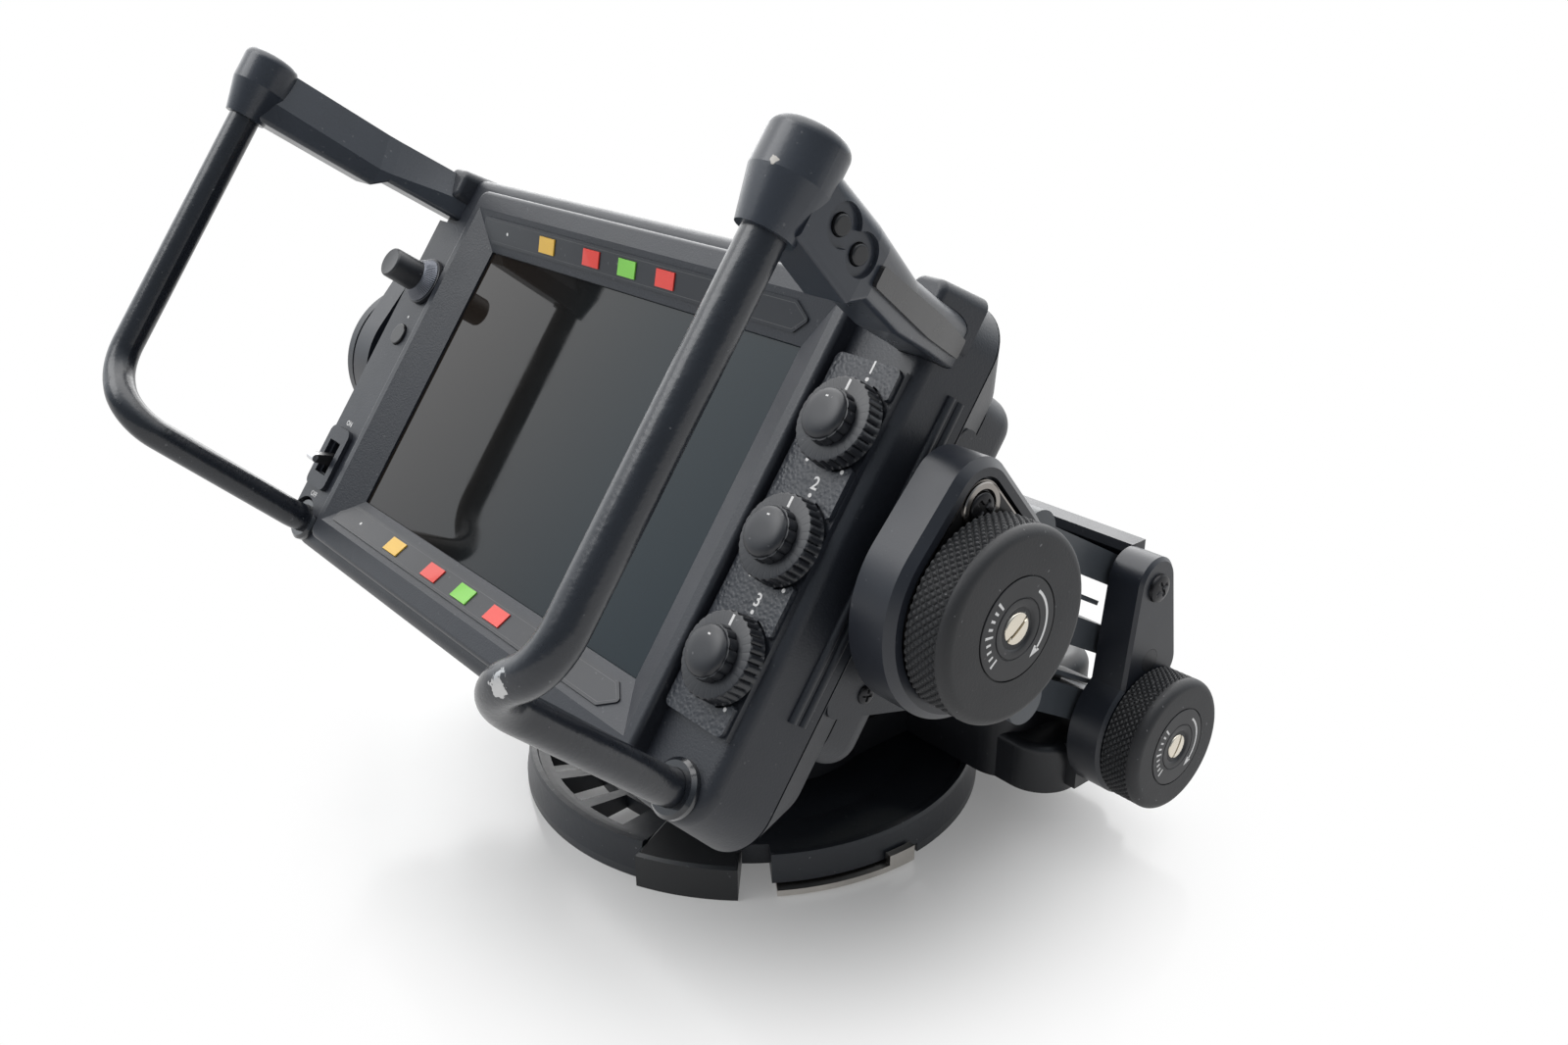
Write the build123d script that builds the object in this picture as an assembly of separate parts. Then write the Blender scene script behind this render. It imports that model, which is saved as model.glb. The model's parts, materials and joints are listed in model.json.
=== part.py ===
from build123d import *
import math
import os

os.makedirs("parts", exist_ok=True)

# Studio viewfinder on a sprung parallelogram lift. World frame: X to the user's right, Y away
# from the user, Z up, origin at the pan axis on the underside of the base. The screen head is
# drawn in its own frame (x right, y up the screen, z out of the screen) and then leaned back.

# Screen head: screen, surround and shells
SCREEN_W = 168.2
SCREEN_H = 100.0
SURROUND_RISE = 6.0
SURROUND_FLARE_X = 11.9
SURROUND_FLARE_Y = 13.0
RIM_W = 4.2
RIM_DROP = 1.7
STRIP_GROOVE = 0.7
STRIP_W = 26.8
BORDER_H = 12.5
SIDE_DRAFT = 2.5
TOP_DRAFT = 4.5
PARTING_DEPTH = 22.0
SEAM = 0.45
REAR_STEP_W = 7.5
REAR_STEP_H = 11.0
REAR_DEPTH = 38.0
SHELL_CORNER = 15.0
SHELL_WALL = 3.0
FACE_ROUND = 4.0
LEFT_STRIP_RISE = 3.5
HUMP_STEP_W = 0.4
HUMP_STEP_LOW = 19.0
HUMP_STEP_HIGH = 6.0
HUMP_DEPTH = 55.0
HUMP_ROUND = 8.0
GLASS_T = 1.6
GLASS_LIP = 0.8
GLASS_LAP = 2.0
PANEL_T = 5.0
BOARD_T = 1.6
SEAT = 0.1
COVER_T = 2.2
CHASSIS_INSET = 24.0
CHASSIS_T = 2.0
EAR_T = 3.0
PAD_SCREW_R = 2.8
BOARD_INSET = 33.6
BOARD_LIFT = 8.0
INLET_X = -70.0
INLET_BACK = 9.1
INLET_R = 8.0
INLET_WALL = 1.8
INLET_DEEP = 11.0
INLET_PROUD = 2.0
INLET_FLANGE = 2.4
LABEL_T = 0.5
LABEL_H = 9.0
TALLY_X = 0.3
TALLY_PITCH = 20.4
TALLY_W = 9.5
TALLY_H = 5.6
TALLY_T = 0.4

# Controls on the head
KNOB_INSET = 14.0
KNOB_MID_Y = 0.3
KNOB_PITCH = 32.75
PANEL_BED = 1.5
PANEL_PLATE_T = 1.5
PANEL_INSET = 2.7
PANEL_OVER = 18.25
PANEL_UNDER = 18.05
RING_R = 12.0
RING_H = 4.9
INNER_KNOB_R = 7.5
INNER_GRIP_H = 2.8
INNER_CAP_H = 1.9
INNER_CAP_R = 6.2
POT_SHAFT_R = 3.0
POT_SLEEVE_R = 4.5
RUN_GAP = 0.05
RING_FLUTES = 24
INNER_FLUTES = 14
DIAL_INSET = 17.0
DIAL_Y = 31.0
DIAL_SKIRT_R = 9.0
DIAL_R = 5.6
DIAL_H = 16.5
BUTTON_INSET = 16.0
BUTTON_Y = 9.2
BUTTON_R = 4.0
SWITCH_INSET = 13.0
SWITCH_Y = -43.0
SWITCH_ARM = 11.0
SWITCH_W = 5.0
SWITCH_PIVOT_Z = 1.0
SWITCH_THROW = 12.0

# Hand rails and their brackets
RAIL_R = 5.1
RAIL_REACH = 12.4
RAIL_Z = 75.9
RAIL_TOP_Y = 68.0
RAIL_BEND_Y = -44.9
RAIL_FOOT_INSET = 11.1
RAIL_FOOT_LIFT = 8.1
RAIL_BEND_R = 16.5
COLLAR_R = 8.0
COLLAR_RISE = 2.4
CUP_R = 9.3
CUP_FOOT_R = 6.7
CUP_FOOT_Y = 52.0
CUP_SPLIT_Y = 63.5
CUP_TOP_Y = 75.3
CUP_ROUND = 3.0
ARM_W = 15.0
ARM_REACH = 8.1
ARM_BEND_Z = 51.0
ARM_LEAN = 20.0
ARM_ROUND = 4.5
SHOULDER_Z = 6.0
SHOULDER_LIP = 5.5
ASSIGN_R = 2.4
ASSIGN_GAP = 0.2
ASSIGN_SINK = 3.5
ASSIGN_H = 2.3
ASSIGN_DISH_R = 4.9
ASSIGN_DISH = 1.4
ASSIGN_PLACES = [(61.5, 64.6), (59.0, 56.6)]
PAD_T = 1.0
PAD_LENGTH = 62.0

# Tilt hinge: axis height and depth in the head frame, and the lean of the head
AXIS_UP = 6.1
AXIS_DEEP = 31.7
LEAN = 35.6
HINGE_GAP = 0.5
FLANGE_GAP = 0.3
AXLE_R = 10.0
AXLE_FLANGE_R = 12.5
STUD_R = 5.0
PLATE_ROOM = 7.5
PLATE_T = 14.0
PLATE_R = 30.5
PLATE_TOP_R = 12.0
PLATE_TOP_H = 28.0
PLATE_POCKET = 2.0
FRICTION_T = 1.2
TILT_KNOB_R = 26.3
TILT_KNOB_T = 13.4
TILT_DISC_T = 6.0
KNOB_LIFT = 0.6
KNOB_HUB_T = 0.5
KNOB_WEB = 4.5
SCREW_R = 2.4

# Lift linkage
REAR_PIVOT_Y = 70.5
REAR_PIVOT_Z = 94.6
PIVOT_STEP = 27.0
LINK_LENGTH = 82.7
LINK_SLOPE = 29.5
AXIS_AHEAD = 48.0
AXIS_BELOW = 0.7
BAR_W = 14.0
UPPER_BAR_R = 5.3
MID_BAR_R = 4.8
LOWER_BAR_R = 5.6
UPPER_RIB_DROP = 12.2
LOWER_RIB_RISE = 8.8
RIB_T = 1.6
SHAFT_R = 4.0
OPEN_PIVOT_GAP = 0.4
SPRING_IN = 16.0
SPRING_OUT = 40.0
SPRING_R = 6.6
PIN_HEAD_R = 4.8
PIN_HEAD_T = 1.2
CHEEK_W = 18.0
CHEEK_R = 7.5
YOKE_ARM_T = 5.5
BEAM_NEAR = 29.0
BEAM_FAR = 38.0
BEAM_HIGH = -13.0
BEAM_LOW = -33.0

# Tower, turntable and base
TOWER_ROOM = 2.0
TOWER_T = 13.0
TOWER_LOBE_R = 24.0
LIFT_KNOB_R = 23.6
LIFT_KNOB_T = 14.0
HOUSING_ROOM = 3.0
HOUSING_NEAR = 40.0
HOUSING_FAR = 92.0
HOUSING_TOP = 52.0
HOUSING_CORNER = 15.0
FOOT_TOP = 33.0
FOOT_STEP = 4.0
FOOT_NEAR = 42.0
DISC_R = 86.5
DISC_RIM_R = 84.5
DISC_H = 13.5
DISH_R = 60.0
DISH_H = 9.0
DISC_GAP = 0.7
TURRET_R = 46.0
PAN_R = 12.0
WASHER_R = 30.0
SHOE_W = 60.0
SHOE_L = 90.0
POCKET_H = 4.0
SHOE_HOLE_R = 2.25
SHOE_HOLE_X = 40.0
SHOE_HOLE_Y = 64.0
BLOCK_FROM = -65.0
BLOCK_TO = -42.0
BLOCK_R = 90.5
NOTCH_TO = -35.0
LEVER_FROM = -34.0
LEVER_TO = -1.0
LEVER_R = 89.5
LEVER_T = 2.2
LEVER_LIFT = 0.6
LEVER_ROOF = 3.6
LEVER_IN_R = 78.0
LEVER_PIN_R = 1.8
LEVER_PIN_RADIUS = 81.0
LUG_TOP = 6.5

# Places that follow from the sizes above
SLOPE = math.radians(LINK_SLOPE)
FRONT_PIVOT_Y = REAR_PIVOT_Y - LINK_LENGTH * math.cos(SLOPE)
FRONT_PIVOT_Z = REAR_PIVOT_Z + LINK_LENGTH * math.sin(SLOPE)
TILT_Y = FRONT_PIVOT_Y - AXIS_AHEAD
TILT_Z = FRONT_PIVOT_Z - AXIS_BELOW
LIFT_AXIS_Z = REAR_PIVOT_Z - 2 * PIVOT_STEP
RIM_IN_X = SCREEN_W / 2 + SURROUND_FLARE_X
RIM_IN_Y = SCREEN_H / 2 + SURROUND_FLARE_Y
RIM_OUT_X = RIM_IN_X + RIM_W
FRONT_HALF_W = RIM_OUT_X + STRIP_W
FRONT_HALF_H = RIM_IN_Y + BORDER_H
PARTING_HALF_W = FRONT_HALF_W + SIDE_DRAFT
PARTING_HALF_H = FRONT_HALF_H + TOP_DRAFT
REAR_HALF_W = PARTING_HALF_W - REAR_STEP_W
REAR_HALF_H = PARTING_HALF_H - REAR_STEP_H
HUMP_HALF_W = REAR_HALF_W - HUMP_STEP_W
HUMP_LOW = -REAR_HALF_H + HUMP_STEP_LOW
HUMP_HIGH = REAR_HALF_H - HUMP_STEP_HIGH
COVER_IN = PARTING_HALF_W - SIDE_DRAFT
COVER_OUT = COVER_IN + COVER_T
CHASSIS_HALF_W = FRONT_HALF_W - CHASSIS_INSET
BOARD_X = HUMP_HALF_W - BOARD_INSET
BOARD_BACK = -HUMP_DEPTH + BOARD_LIFT
PANEL_LEFT = RIM_OUT_X + STRIP_GROOVE
PANEL_RIGHT = FRONT_HALF_W - PANEL_INSET
PANEL_TOP = KNOB_MID_Y + KNOB_PITCH + PANEL_OVER
PANEL_BOTTOM = KNOB_MID_Y - KNOB_PITCH - PANEL_UNDER
PANEL_FACE = PANEL_BED + PANEL_PLATE_T
KNOB_X = PANEL_LEFT + KNOB_INSET
DIAL_X = -FRONT_HALF_W + DIAL_INSET
BUTTON_X = -FRONT_HALF_W + BUTTON_INSET
SWITCH_X = -FRONT_HALF_W + SWITCH_INSET
RAIL_X = PARTING_HALF_W + RAIL_REACH
RAIL_FOOT_X = FRONT_HALF_W - RAIL_FOOT_INSET
RAIL_FOOT_Y = -FRONT_HALF_H + RAIL_FOOT_LIFT
BRACKET_OUT = RAIL_X + ARM_REACH
PLATE_IN = PARTING_HALF_W + PLATE_ROOM
PLATE_OUT = PLATE_IN + PLATE_T
YOKE_ARM_IN = PLATE_IN - YOKE_ARM_T
CHEEK_IN = YOKE_ARM_IN - CHEEK_W
LINK_HALF_W = CHEEK_IN - TOWER_ROOM - 0.5
BAR_IN = LINK_HALF_W - BAR_W
TOWER_IN = LINK_HALF_W + TOWER_ROOM
TOWER_OUT = TOWER_IN + TOWER_T
HOUSING_HALF_W = BAR_IN - HOUSING_ROOM
FOOT_HALF_W = TOWER_IN - FOOT_STEP
REAR_SLOPE = 90 + math.degrees(math.atan2(REAR_STEP_H, REAR_DEPTH - PARTING_DEPTH))
INLET_FALL = INLET_BACK * REAR_STEP_H / (REAR_DEPTH - PARTING_DEPTH)
INLET_PLACE = Pos(INLET_X, -PARTING_HALF_H + INLET_FALL, -PARTING_DEPTH - INLET_BACK) * Rot(REAR_SLOPE, 0, 0)
HEAD_PLACE = Pos(0, TILT_Y, TILT_Z) * Rot(90 - LEAN, 0, 0) * Pos(0, -AXIS_UP, AXIS_DEEP)
SLOPE_ANGLE = math.degrees(math.atan2(SURROUND_RISE, SURROUND_FLARE_Y))
SLOPE_LENGTH = math.hypot(SURROUND_RISE, SURROUND_FLARE_Y)
LABEL_MID = SLOPE_LENGTH / 2 + 0.4
TALLY_XS = [TALLY_X + TALLY_PITCH * n for n in (-2.333, -1, 0, 1)]
KNOB_YS = [KNOB_MID_Y + KNOB_PITCH * step for step in (1, 0, -1)]


def save(name, shape):
    shape.label = name
    export_step(shape, f"parts/{name}.step")


def save_head(name, shape):
    save(name, HEAD_PLACE * shape)


def block(x0, x1, y0, y1, z0, z1):
    return Pos((x0 + x1) / 2, (y0 + y1) / 2, (z0 + z1) / 2) * Box(x1 - x0, y1 - y0, z1 - z0)


def x_rod(x0, x1, y, z, r):
    return Pos((x0 + x1) / 2, y, z) * Rot(0, 90, 0) * Cylinder(r, abs(x1 - x0))


def z_rod(x, y, z0, z1, r):
    return Pos(x, y, (z0 + z1) / 2) * Cylinder(r, z1 - z0)


def outline(points):
    return make_face(Polyline(*points, close=True))


def side_plate(face, x0, x1):
    return extrude(Plane.YZ.offset(x0) * face, x1 - x0)


def flat_plate(face, z0, z1):
    return extrude(Plane.XY.offset(z0) * face, z1 - z0)


def mirrored(shape):
    return mirror(shape, Plane.YZ)


def pair(shape):
    return Part() + [shape, mirrored(shape)]


def rounded_loft(z0, half_w0, half_h0, r0, z1, half_w1, half_h1, r1):
    near = Plane.XY.offset(z0) * RectangleRounded(2 * half_w0, 2 * half_h0, r0)
    far = Plane.XY.offset(z1) * RectangleRounded(2 * half_w1, 2 * half_h1, r1)
    return loft([near, far])


def turned(profile):
    return revolve(Plane.XZ * outline(profile), Axis.Z)


def fluted(radius, base, height, cap_r, cap_h, depth, count):
    grip = z_rod(0, 0, base, base + height, radius)
    grip = chamfer(grip.edges().group_by(Axis.Z)[-1], depth * 0.6)
    cutter = z_rod(radius + depth * 0.5, 0, base + 0.8, base + height + 1, depth * 1.1)
    grip -= [Rot(0, 0, 360 * n / count) * cutter for n in range(count)]
    if cap_r:
        cap = z_rod(0, 0, base + height - 0.5, base + height + cap_h, cap_r)
        grip += fillet(cap.edges().group_by(Axis.Z)[-1], cap_h * 0.9)
    return grip


# Front housing: lofted shell, flared screen surround, bed for the knob panel, left strip
def front_housing():
    shell = rounded_loft(
        -PARTING_DEPTH, PARTING_HALF_W, PARTING_HALF_H, SHELL_CORNER,
        0, FRONT_HALF_W, FRONT_HALF_H, SHELL_CORNER - 3,
    )
    shell = fillet(shell.edges().group_by(Axis.Z)[-1], FACE_ROUND)
    shell -= seam_groove()
    shell += shoulder()
    rim = flat_plate(RectangleRounded(2 * RIM_OUT_X, 2 * (RIM_IN_Y + 7), 4), -2, SURROUND_RISE)
    rim = fillet(rim.edges().group_by(Axis.Z)[-1], RIM_DROP)
    shell += rim
    strip = block(-FRONT_HALF_W + 1.5, -RIM_OUT_X + 1, -64, 55, -2, LEFT_STRIP_RISE)
    shell += chamfer(strip.edges().group_by(Axis.Z)[-1].sort_by(Axis.X)[0], 2.5)
    shell += block(RIM_OUT_X - 1, PANEL_RIGHT + 0.6, PANEL_BOTTOM, PANEL_TOP, -2, PANEL_BED)
    sections = []
    for share in (-0.02, 1.02):
        width = SCREEN_W + 2 * share * SURROUND_FLARE_X
        height = SCREEN_H + 2 * share * SURROUND_FLARE_Y
        sections.append(Plane.XY.offset(share * SURROUND_RISE) * Rectangle(width, height))
    shell -= loft(sections)
    shell -= block(
        -SCREEN_W / 2 - GLASS_LAP, SCREEN_W / 2 + GLASS_LAP,
        -SCREEN_H / 2 - GLASS_LAP, SCREEN_H / 2 + GLASS_LAP, -PARTING_DEPTH - 1, -GLASS_LIP,
    )
    shell -= block(-SCREEN_W / 2, SCREEN_W / 2, -SCREEN_H / 2, SCREEN_H / 2, -GLASS_LIP - 1, 1)
    shell -= rounded_loft(
        -PARTING_DEPTH - 0.01, PARTING_HALF_W - SHELL_WALL, PARTING_HALF_H - SHELL_WALL, SHELL_CORNER - 3,
        -4, FRONT_HALF_W - SHELL_WALL - 2, FRONT_HALF_H - SHELL_WALL - 2, SHELL_CORNER - 5,
    )
    foot = z_rod(RAIL_FOOT_X, RAIL_FOOT_Y, -14, -1, RAIL_R + 2.2)
    core = rounded_loft(
        -PARTING_DEPTH, PARTING_HALF_W - 1, PARTING_HALF_H - 1, SHELL_CORNER,
        0, FRONT_HALF_W - 1, FRONT_HALF_H - 1, SHELL_CORNER - 3,
    )
    shell += pair(foot & core)
    shell -= pair(z_rod(RAIL_FOOT_X, RAIL_FOOT_Y, -12, 10, RAIL_R + SEAT))
    shell -= pair(z_rod(RAIL_FOOT_X, RAIL_FOOT_Y, 0, 10, COLLAR_R + SEAT))
    for y in KNOB_YS:
        shell -= z_rod(KNOB_X, y, -5, 5, POT_SLEEVE_R + 0.3)
    shell -= z_rod(DIAL_X, DIAL_Y, -5, 5, POT_SHAFT_R + 0.2)
    shell -= z_rod(BUTTON_X, BUTTON_Y, -5, 5, BUTTON_R + 0.25)
    shell -= block(SWITCH_X - SWITCH_W / 2 - 0.4, SWITCH_X + SWITCH_W / 2 + 0.4,
                   SWITCH_Y - 6, SWITCH_Y + 6, -5, 5)
    guard = RectangleRounded(15, 24, 3) - Rectangle(SWITCH_W + 3.4, 13)
    shell += Pos(SWITCH_X, SWITCH_Y, 0) * flat_plate(guard, LEFT_STRIP_RISE - 0.5, LEFT_STRIP_RISE + 1.8)
    for depth in (13.5, 17.5):
        ridge = Pos(PARTING_HALF_W - 0.9, 6, -depth) * Rot(90, 0, 0) * Cylinder(1.3, 92)
        shell += ridge
        shell += mirrored(ridge)
    shell -= arm(RIGHT_ARM, SEAT)
    shell -= mirrored(arm(LEFT_ARM, SEAT))
    return shell - axle_bores()


def seam_groove():
    outside = RectangleRounded(2 * PARTING_HALF_W + 2, 2 * PARTING_HALF_H + 2, SHELL_CORNER + 1)
    inside = RectangleRounded(2 * (PARTING_HALF_W - SEAM), 2 * (PARTING_HALF_H - SEAM), SHELL_CORNER - SEAM)
    return flat_plate(outside - inside, -PARTING_DEPTH, -PARTING_DEPTH + SEAM)


def shoulder():
    low = Pos(FRONT_HALF_W - 5.5, FRONT_HALF_H - 6) * RectangleRounded(15, 18, 4)
    high = Pos(FRONT_HALF_W - 5.0, FRONT_HALF_H - 5.5) * RectangleRounded(11, 2 * SHOULDER_LIP, 3)
    lip = loft([Plane.XY.offset(-PARTING_DEPTH / 2) * low, Plane.XY.offset(SHOULDER_Z) * high])
    return pair(fillet(lip.edges().group_by(Axis.Z)[-1], 2))


def axle_bores():
    return pair(x_rod(CHASSIS_HALF_W, PLATE_IN, AXIS_UP, -AXIS_DEEP, AXLE_R + SEAT))


# Rear housing: tapered shell with a window into the hump, and a flat pad at each hinge
def hinge_pad_face(grow):
    face = outline([
        (-37 - grow, -PARTING_DEPTH - 0.6), (50 + grow, -PARTING_DEPTH - 0.6),
        (38 + grow, -HUMP_DEPTH - 0.5), (-25 - grow, -HUMP_DEPTH - 0.5),
    ])
    return fillet(face.vertices(), 4)


def rear_housing():
    shell = rounded_loft(
        -REAR_DEPTH, REAR_HALF_W, REAR_HALF_H, SHELL_CORNER - 2,
        -PARTING_DEPTH, PARTING_HALF_W, PARTING_HALF_H, SHELL_CORNER,
    )
    shell = fillet(shell.edges().group_by(Axis.Z)[0], 5)
    shell -= rounded_loft(
        -REAR_DEPTH + SHELL_WALL, REAR_HALF_W - SHELL_WALL, REAR_HALF_H - SHELL_WALL, SHELL_CORNER - 5,
        -PARTING_DEPTH + 0.01, PARTING_HALF_W - SHELL_WALL, PARTING_HALF_H - SHELL_WALL, SHELL_CORNER - 3,
    )
    window_x = HUMP_HALF_W - 21.6
    shell -= block(-window_x, window_x, HUMP_LOW + 10, HUMP_HIGH - 10,
                   -REAR_DEPTH - 1, -REAR_DEPTH + SHELL_WALL + 1)
    pad = side_plate(hinge_pad_face(-1.5), REAR_HALF_W + 0.3, COVER_IN)
    inner = side_plate(hinge_pad_face(-1.5), REAR_HALF_W - 5, REAR_HALF_W + 0.3)
    inside = block(0, COVER_OUT, -REAR_HALF_H, REAR_HALF_H, -REAR_DEPTH + 0.5, -PARTING_DEPTH - 0.6)
    boss = x_rod(REAR_HALF_W - 8, COVER_IN, AXIS_UP, -AXIS_DEEP, AXLE_R + 5)
    side = pad + (inner & inside) + (boss & inside)
    shell += pair(side)
    shell -= pair(side_plate(hinge_pad_face(SEAT), COVER_IN, COVER_IN + 10))
    shell -= INLET_PLACE * z_rod(0, 0, -INLET_DEEP, 5, INLET_R + SEAT)
    return shell - axle_bores()


def side_covers():
    cover = side_plate(hinge_pad_face(0), COVER_IN, COVER_OUT)
    return pair(cover) - axle_bores()


def head_screws():
    heads = [x_rod(COVER_OUT, COVER_OUT + 0.7, y, -REAR_DEPTH + 3.5, PAD_SCREW_R) for y in (-26, 38)]
    heads += [mirrored(head) for head in heads]
    heads += [
        z_rod(x, y, -HUMP_DEPTH - 0.6, -HUMP_DEPTH, 2.6)
        for x in (-HUMP_HALF_W + 12, HUMP_HALF_W - 12) for y in (HUMP_LOW + 11, HUMP_HIGH - 11)
    ]
    return Part() + heads


# Inner chassis: sheet behind the screen with an ear to each axle
def head_chassis():
    back = -GLASS_LIP - GLASS_T - PANEL_T
    sheet = block(-CHASSIS_HALF_W, CHASSIS_HALF_W, -42, 48, back - CHASSIS_T, back)
    sheet -= block(-60, 60, -20, 26, back - 3, back + 1)
    ear = side_plate(
        outline([(-20, back), (34, back), (AXIS_UP + 9, -REAR_DEPTH + SHELL_WALL + 0.2),
                 (AXIS_UP - 9, -REAR_DEPTH + SHELL_WALL + 0.2)]),
        CHASSIS_HALF_W - EAR_T, CHASSIS_HALF_W,
    )
    return sheet + pair(ear)


def hump_cover():
    height = HUMP_HIGH - HUMP_LOW
    middle = (HUMP_HIGH + HUMP_LOW) / 2
    outer = Pos(0, middle) * RectangleRounded(2 * HUMP_HALF_W, height, 9)
    shell = flat_plate(outer, -HUMP_DEPTH, -REAR_DEPTH)
    shell = fillet(shell.edges().group_by(Axis.Z)[0], HUMP_ROUND)
    inner = Pos(0, middle) * RectangleRounded(2 * (HUMP_HALF_W - SHELL_WALL), height - 2 * SHELL_WALL, 6)
    shell -= flat_plate(inner, -HUMP_DEPTH + SHELL_WALL, -REAR_DEPTH + 0.01)
    vent = block(-70, 70, HUMP_LOW + 12, HUMP_LOW + 14, -HUMP_DEPTH - 1, -HUMP_DEPTH + 2)
    shell -= [Pos(0, 5 * n, 0) * vent for n in range(4)]
    for x in (-BOARD_X, BOARD_X):
        for y in (HUMP_LOW + 13, HUMP_HIGH - 13):
            shell += z_rod(x, y, -HUMP_DEPTH + SHELL_WALL - 0.5, BOARD_BACK, 3)
    return shell - axle_bores()


# Cable inlet: flanged socket in the sloping lower back of the rear housing, so that the cable hangs down
def signal_inlet():
    body = z_rod(0, 0, -INLET_DEEP, INLET_PROUD, INLET_R)
    body += z_rod(0, 0, 0, INLET_PROUD * 0.7, INLET_R + INLET_FLANGE)
    return INLET_PLACE * (body - z_rod(0, 0, -INLET_DEEP + 2, INLET_PROUD + 1, INLET_R - INLET_WALL))


# Control knobs: three fluted rings with a smaller fluted knob on a common centre
def outer_ring():
    ring = fluted(RING_R, PANEL_FACE + 0.3, RING_H, 0, 0, 0.9, RING_FLUTES)
    return ring - z_rod(0, 0, 0, 20, POT_SLEEVE_R + RUN_GAP)


def inner_knob():
    base = PANEL_FACE + 0.3 + RING_H + 0.3
    knob = fluted(INNER_KNOB_R, base, INNER_GRIP_H, INNER_CAP_R, INNER_CAP_H, 0.7, INNER_FLUTES)
    return knob - z_rod(0, 0, 0, base + INNER_GRIP_H, POT_SHAFT_R + RUN_GAP)


def pots():
    face = PANEL_FACE + 0.3 + RING_H
    body = z_rod(0, 0, -14, -4.2, 6.6)
    body += z_rod(0, 0, -4.2, face - 0.4, POT_SLEEVE_R)
    body += z_rod(0, 0, face - 0.4, face + 3.0, POT_SHAFT_R)
    dial = z_rod(0, 0, -14, -4.2, 6.6) + z_rod(0, 0, -4.2, LEFT_STRIP_RISE + 8, POT_SHAFT_R)
    group = [Pos(KNOB_X, y, 0) * body for y in KNOB_YS]
    return Part() + group + [Pos(DIAL_X, DIAL_Y, 0) * dial]


def knob_panel():
    plate = outline([
        (PANEL_LEFT, PANEL_BOTTOM), (PANEL_RIGHT, PANEL_BOTTOM),
        (PANEL_RIGHT, PANEL_TOP), (PANEL_LEFT, PANEL_TOP),
    ])
    plate = fillet(plate.vertices(), 2)
    for y in KNOB_YS:
        bite = outline([
            (KNOB_X + 3, y - 6), (PANEL_RIGHT + 1, y - 10.6),
            (PANEL_RIGHT + 1, y + 10.6), (KNOB_X + 3, y + 6),
        ])
        arc = Pos(KNOB_X, y) * Circle(RING_R + 0.5)
        plate -= bite + (arc & Pos(KNOB_X + 25 + 3, y) * Rectangle(50, 40))
        plate -= Pos(KNOB_X, y) * Circle(POT_SLEEVE_R + 0.3)
    return flat_plate(plate, PANEL_BED, PANEL_FACE)


# Label plates lie on the upper and lower slopes of the surround
def on_slope(shape, upper):
    placed = Pos(0, SCREEN_H / 2, 0) * Rot(SLOPE_ANGLE, 0, 0) * shape
    return placed if upper else mirror(placed, Plane.XZ)


def label_plates():
    end = SCREEN_W / 2 + RIM_W
    face = outline([
        (-end + 4, LABEL_MID - LABEL_H / 2), (end - 8, LABEL_MID - LABEL_H / 2), (end - 2, LABEL_MID),
        (end - 8, LABEL_MID + LABEL_H / 2), (-end - 2, LABEL_MID + LABEL_H / 2),
        (-end - 2, LABEL_MID - LABEL_H / 2 + 5),
    ])
    plate = flat_plate(fillet(face.vertices(), 1), 0.02, LABEL_T)
    low = LABEL_MID - TALLY_H / 2
    high = LABEL_MID + TALLY_H / 2
    plate -= [block(x - TALLY_W / 2, x + TALLY_W / 2, low, high, -1, 1) for x in TALLY_XS]
    return Part() + [on_slope(plate, True), on_slope(plate, False)]


def tally(indices):
    panes = []
    for n in indices:
        x = TALLY_XS[n]
        half_w = TALLY_W / 2 - SEAT
        half_h = TALLY_H / 2 - SEAT
        pane = block(x - half_w, x + half_w, LABEL_MID - half_h, LABEL_MID + half_h, 0.02, LABEL_T + TALLY_T)
        panes += [on_slope(pane, True), on_slope(pane, False)]
    return Part() + panes


# Hand rail: one bent tube from the bracket down to the foot collar
def rail_path():
    knee = (RAIL_FOOT_X + 6.2, RAIL_FOOT_Y + 9.6, RAIL_Z - 2.6)
    points = [
        (RAIL_X, RAIL_TOP_Y, RAIL_Z), (RAIL_X, RAIL_BEND_Y, RAIL_Z), knee,
        (RAIL_FOOT_X, RAIL_FOOT_Y, 6.0), (RAIL_FOOT_X, RAIL_FOOT_Y, -11.5),
    ]
    return FilletPolyline(*points, radius=[RAIL_BEND_R, RAIL_BEND_R, 20])


def hand_rail():
    path = rail_path()
    return sweep(Plane(path @ 0, z_dir=path % 0) * Circle(RAIL_R), path=path)


# Bracket arms: sections (z, lower edge, crest, inner edge of the slanted top) from the cup to the shell
RIGHT_ARM = [(74, 53.5, 71, 63), (54, 48.8, 67.8, 60), (49.5, 51.8, 67, 59.5), (28, 52.5, 66.5, 59.5),
             (8, 55.5, 69, 62), (-9, 57.5, 72, 64)]
LEFT_ARM = [(74, 53.0, 73.5, 61), (31, 53.3, 73.2, 60), (26.5, 57.2, 73.2, 60.5), (8, 57.4, 73.5, 64),
            (-9, 57.6, 73, 66)]
RIGHT_SPLIT = [(63.5, 95), (63.5, 72.5), (61, 69.4), (56.2, 68.3), (54.2, 66), (52.8, 56.5), (55.6, 51.5),
               (54.4, 40), (54.6, 28), (57.5, 8), (60, -12), (40, -12), (40, 95)]
LEFT_SPLIT = [(63.5, 95), (63.5, 72.5), (61, 69.4), (57.6, 68), (56.4, 65), (56.4, 36), (52, 35), (40, 35),
              (40, 95)]


def arm_outer(z):
    return BRACKET_OUT - max(ARM_BEND_Z - z, 0) * math.tan(math.radians(ARM_LEAN))


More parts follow.
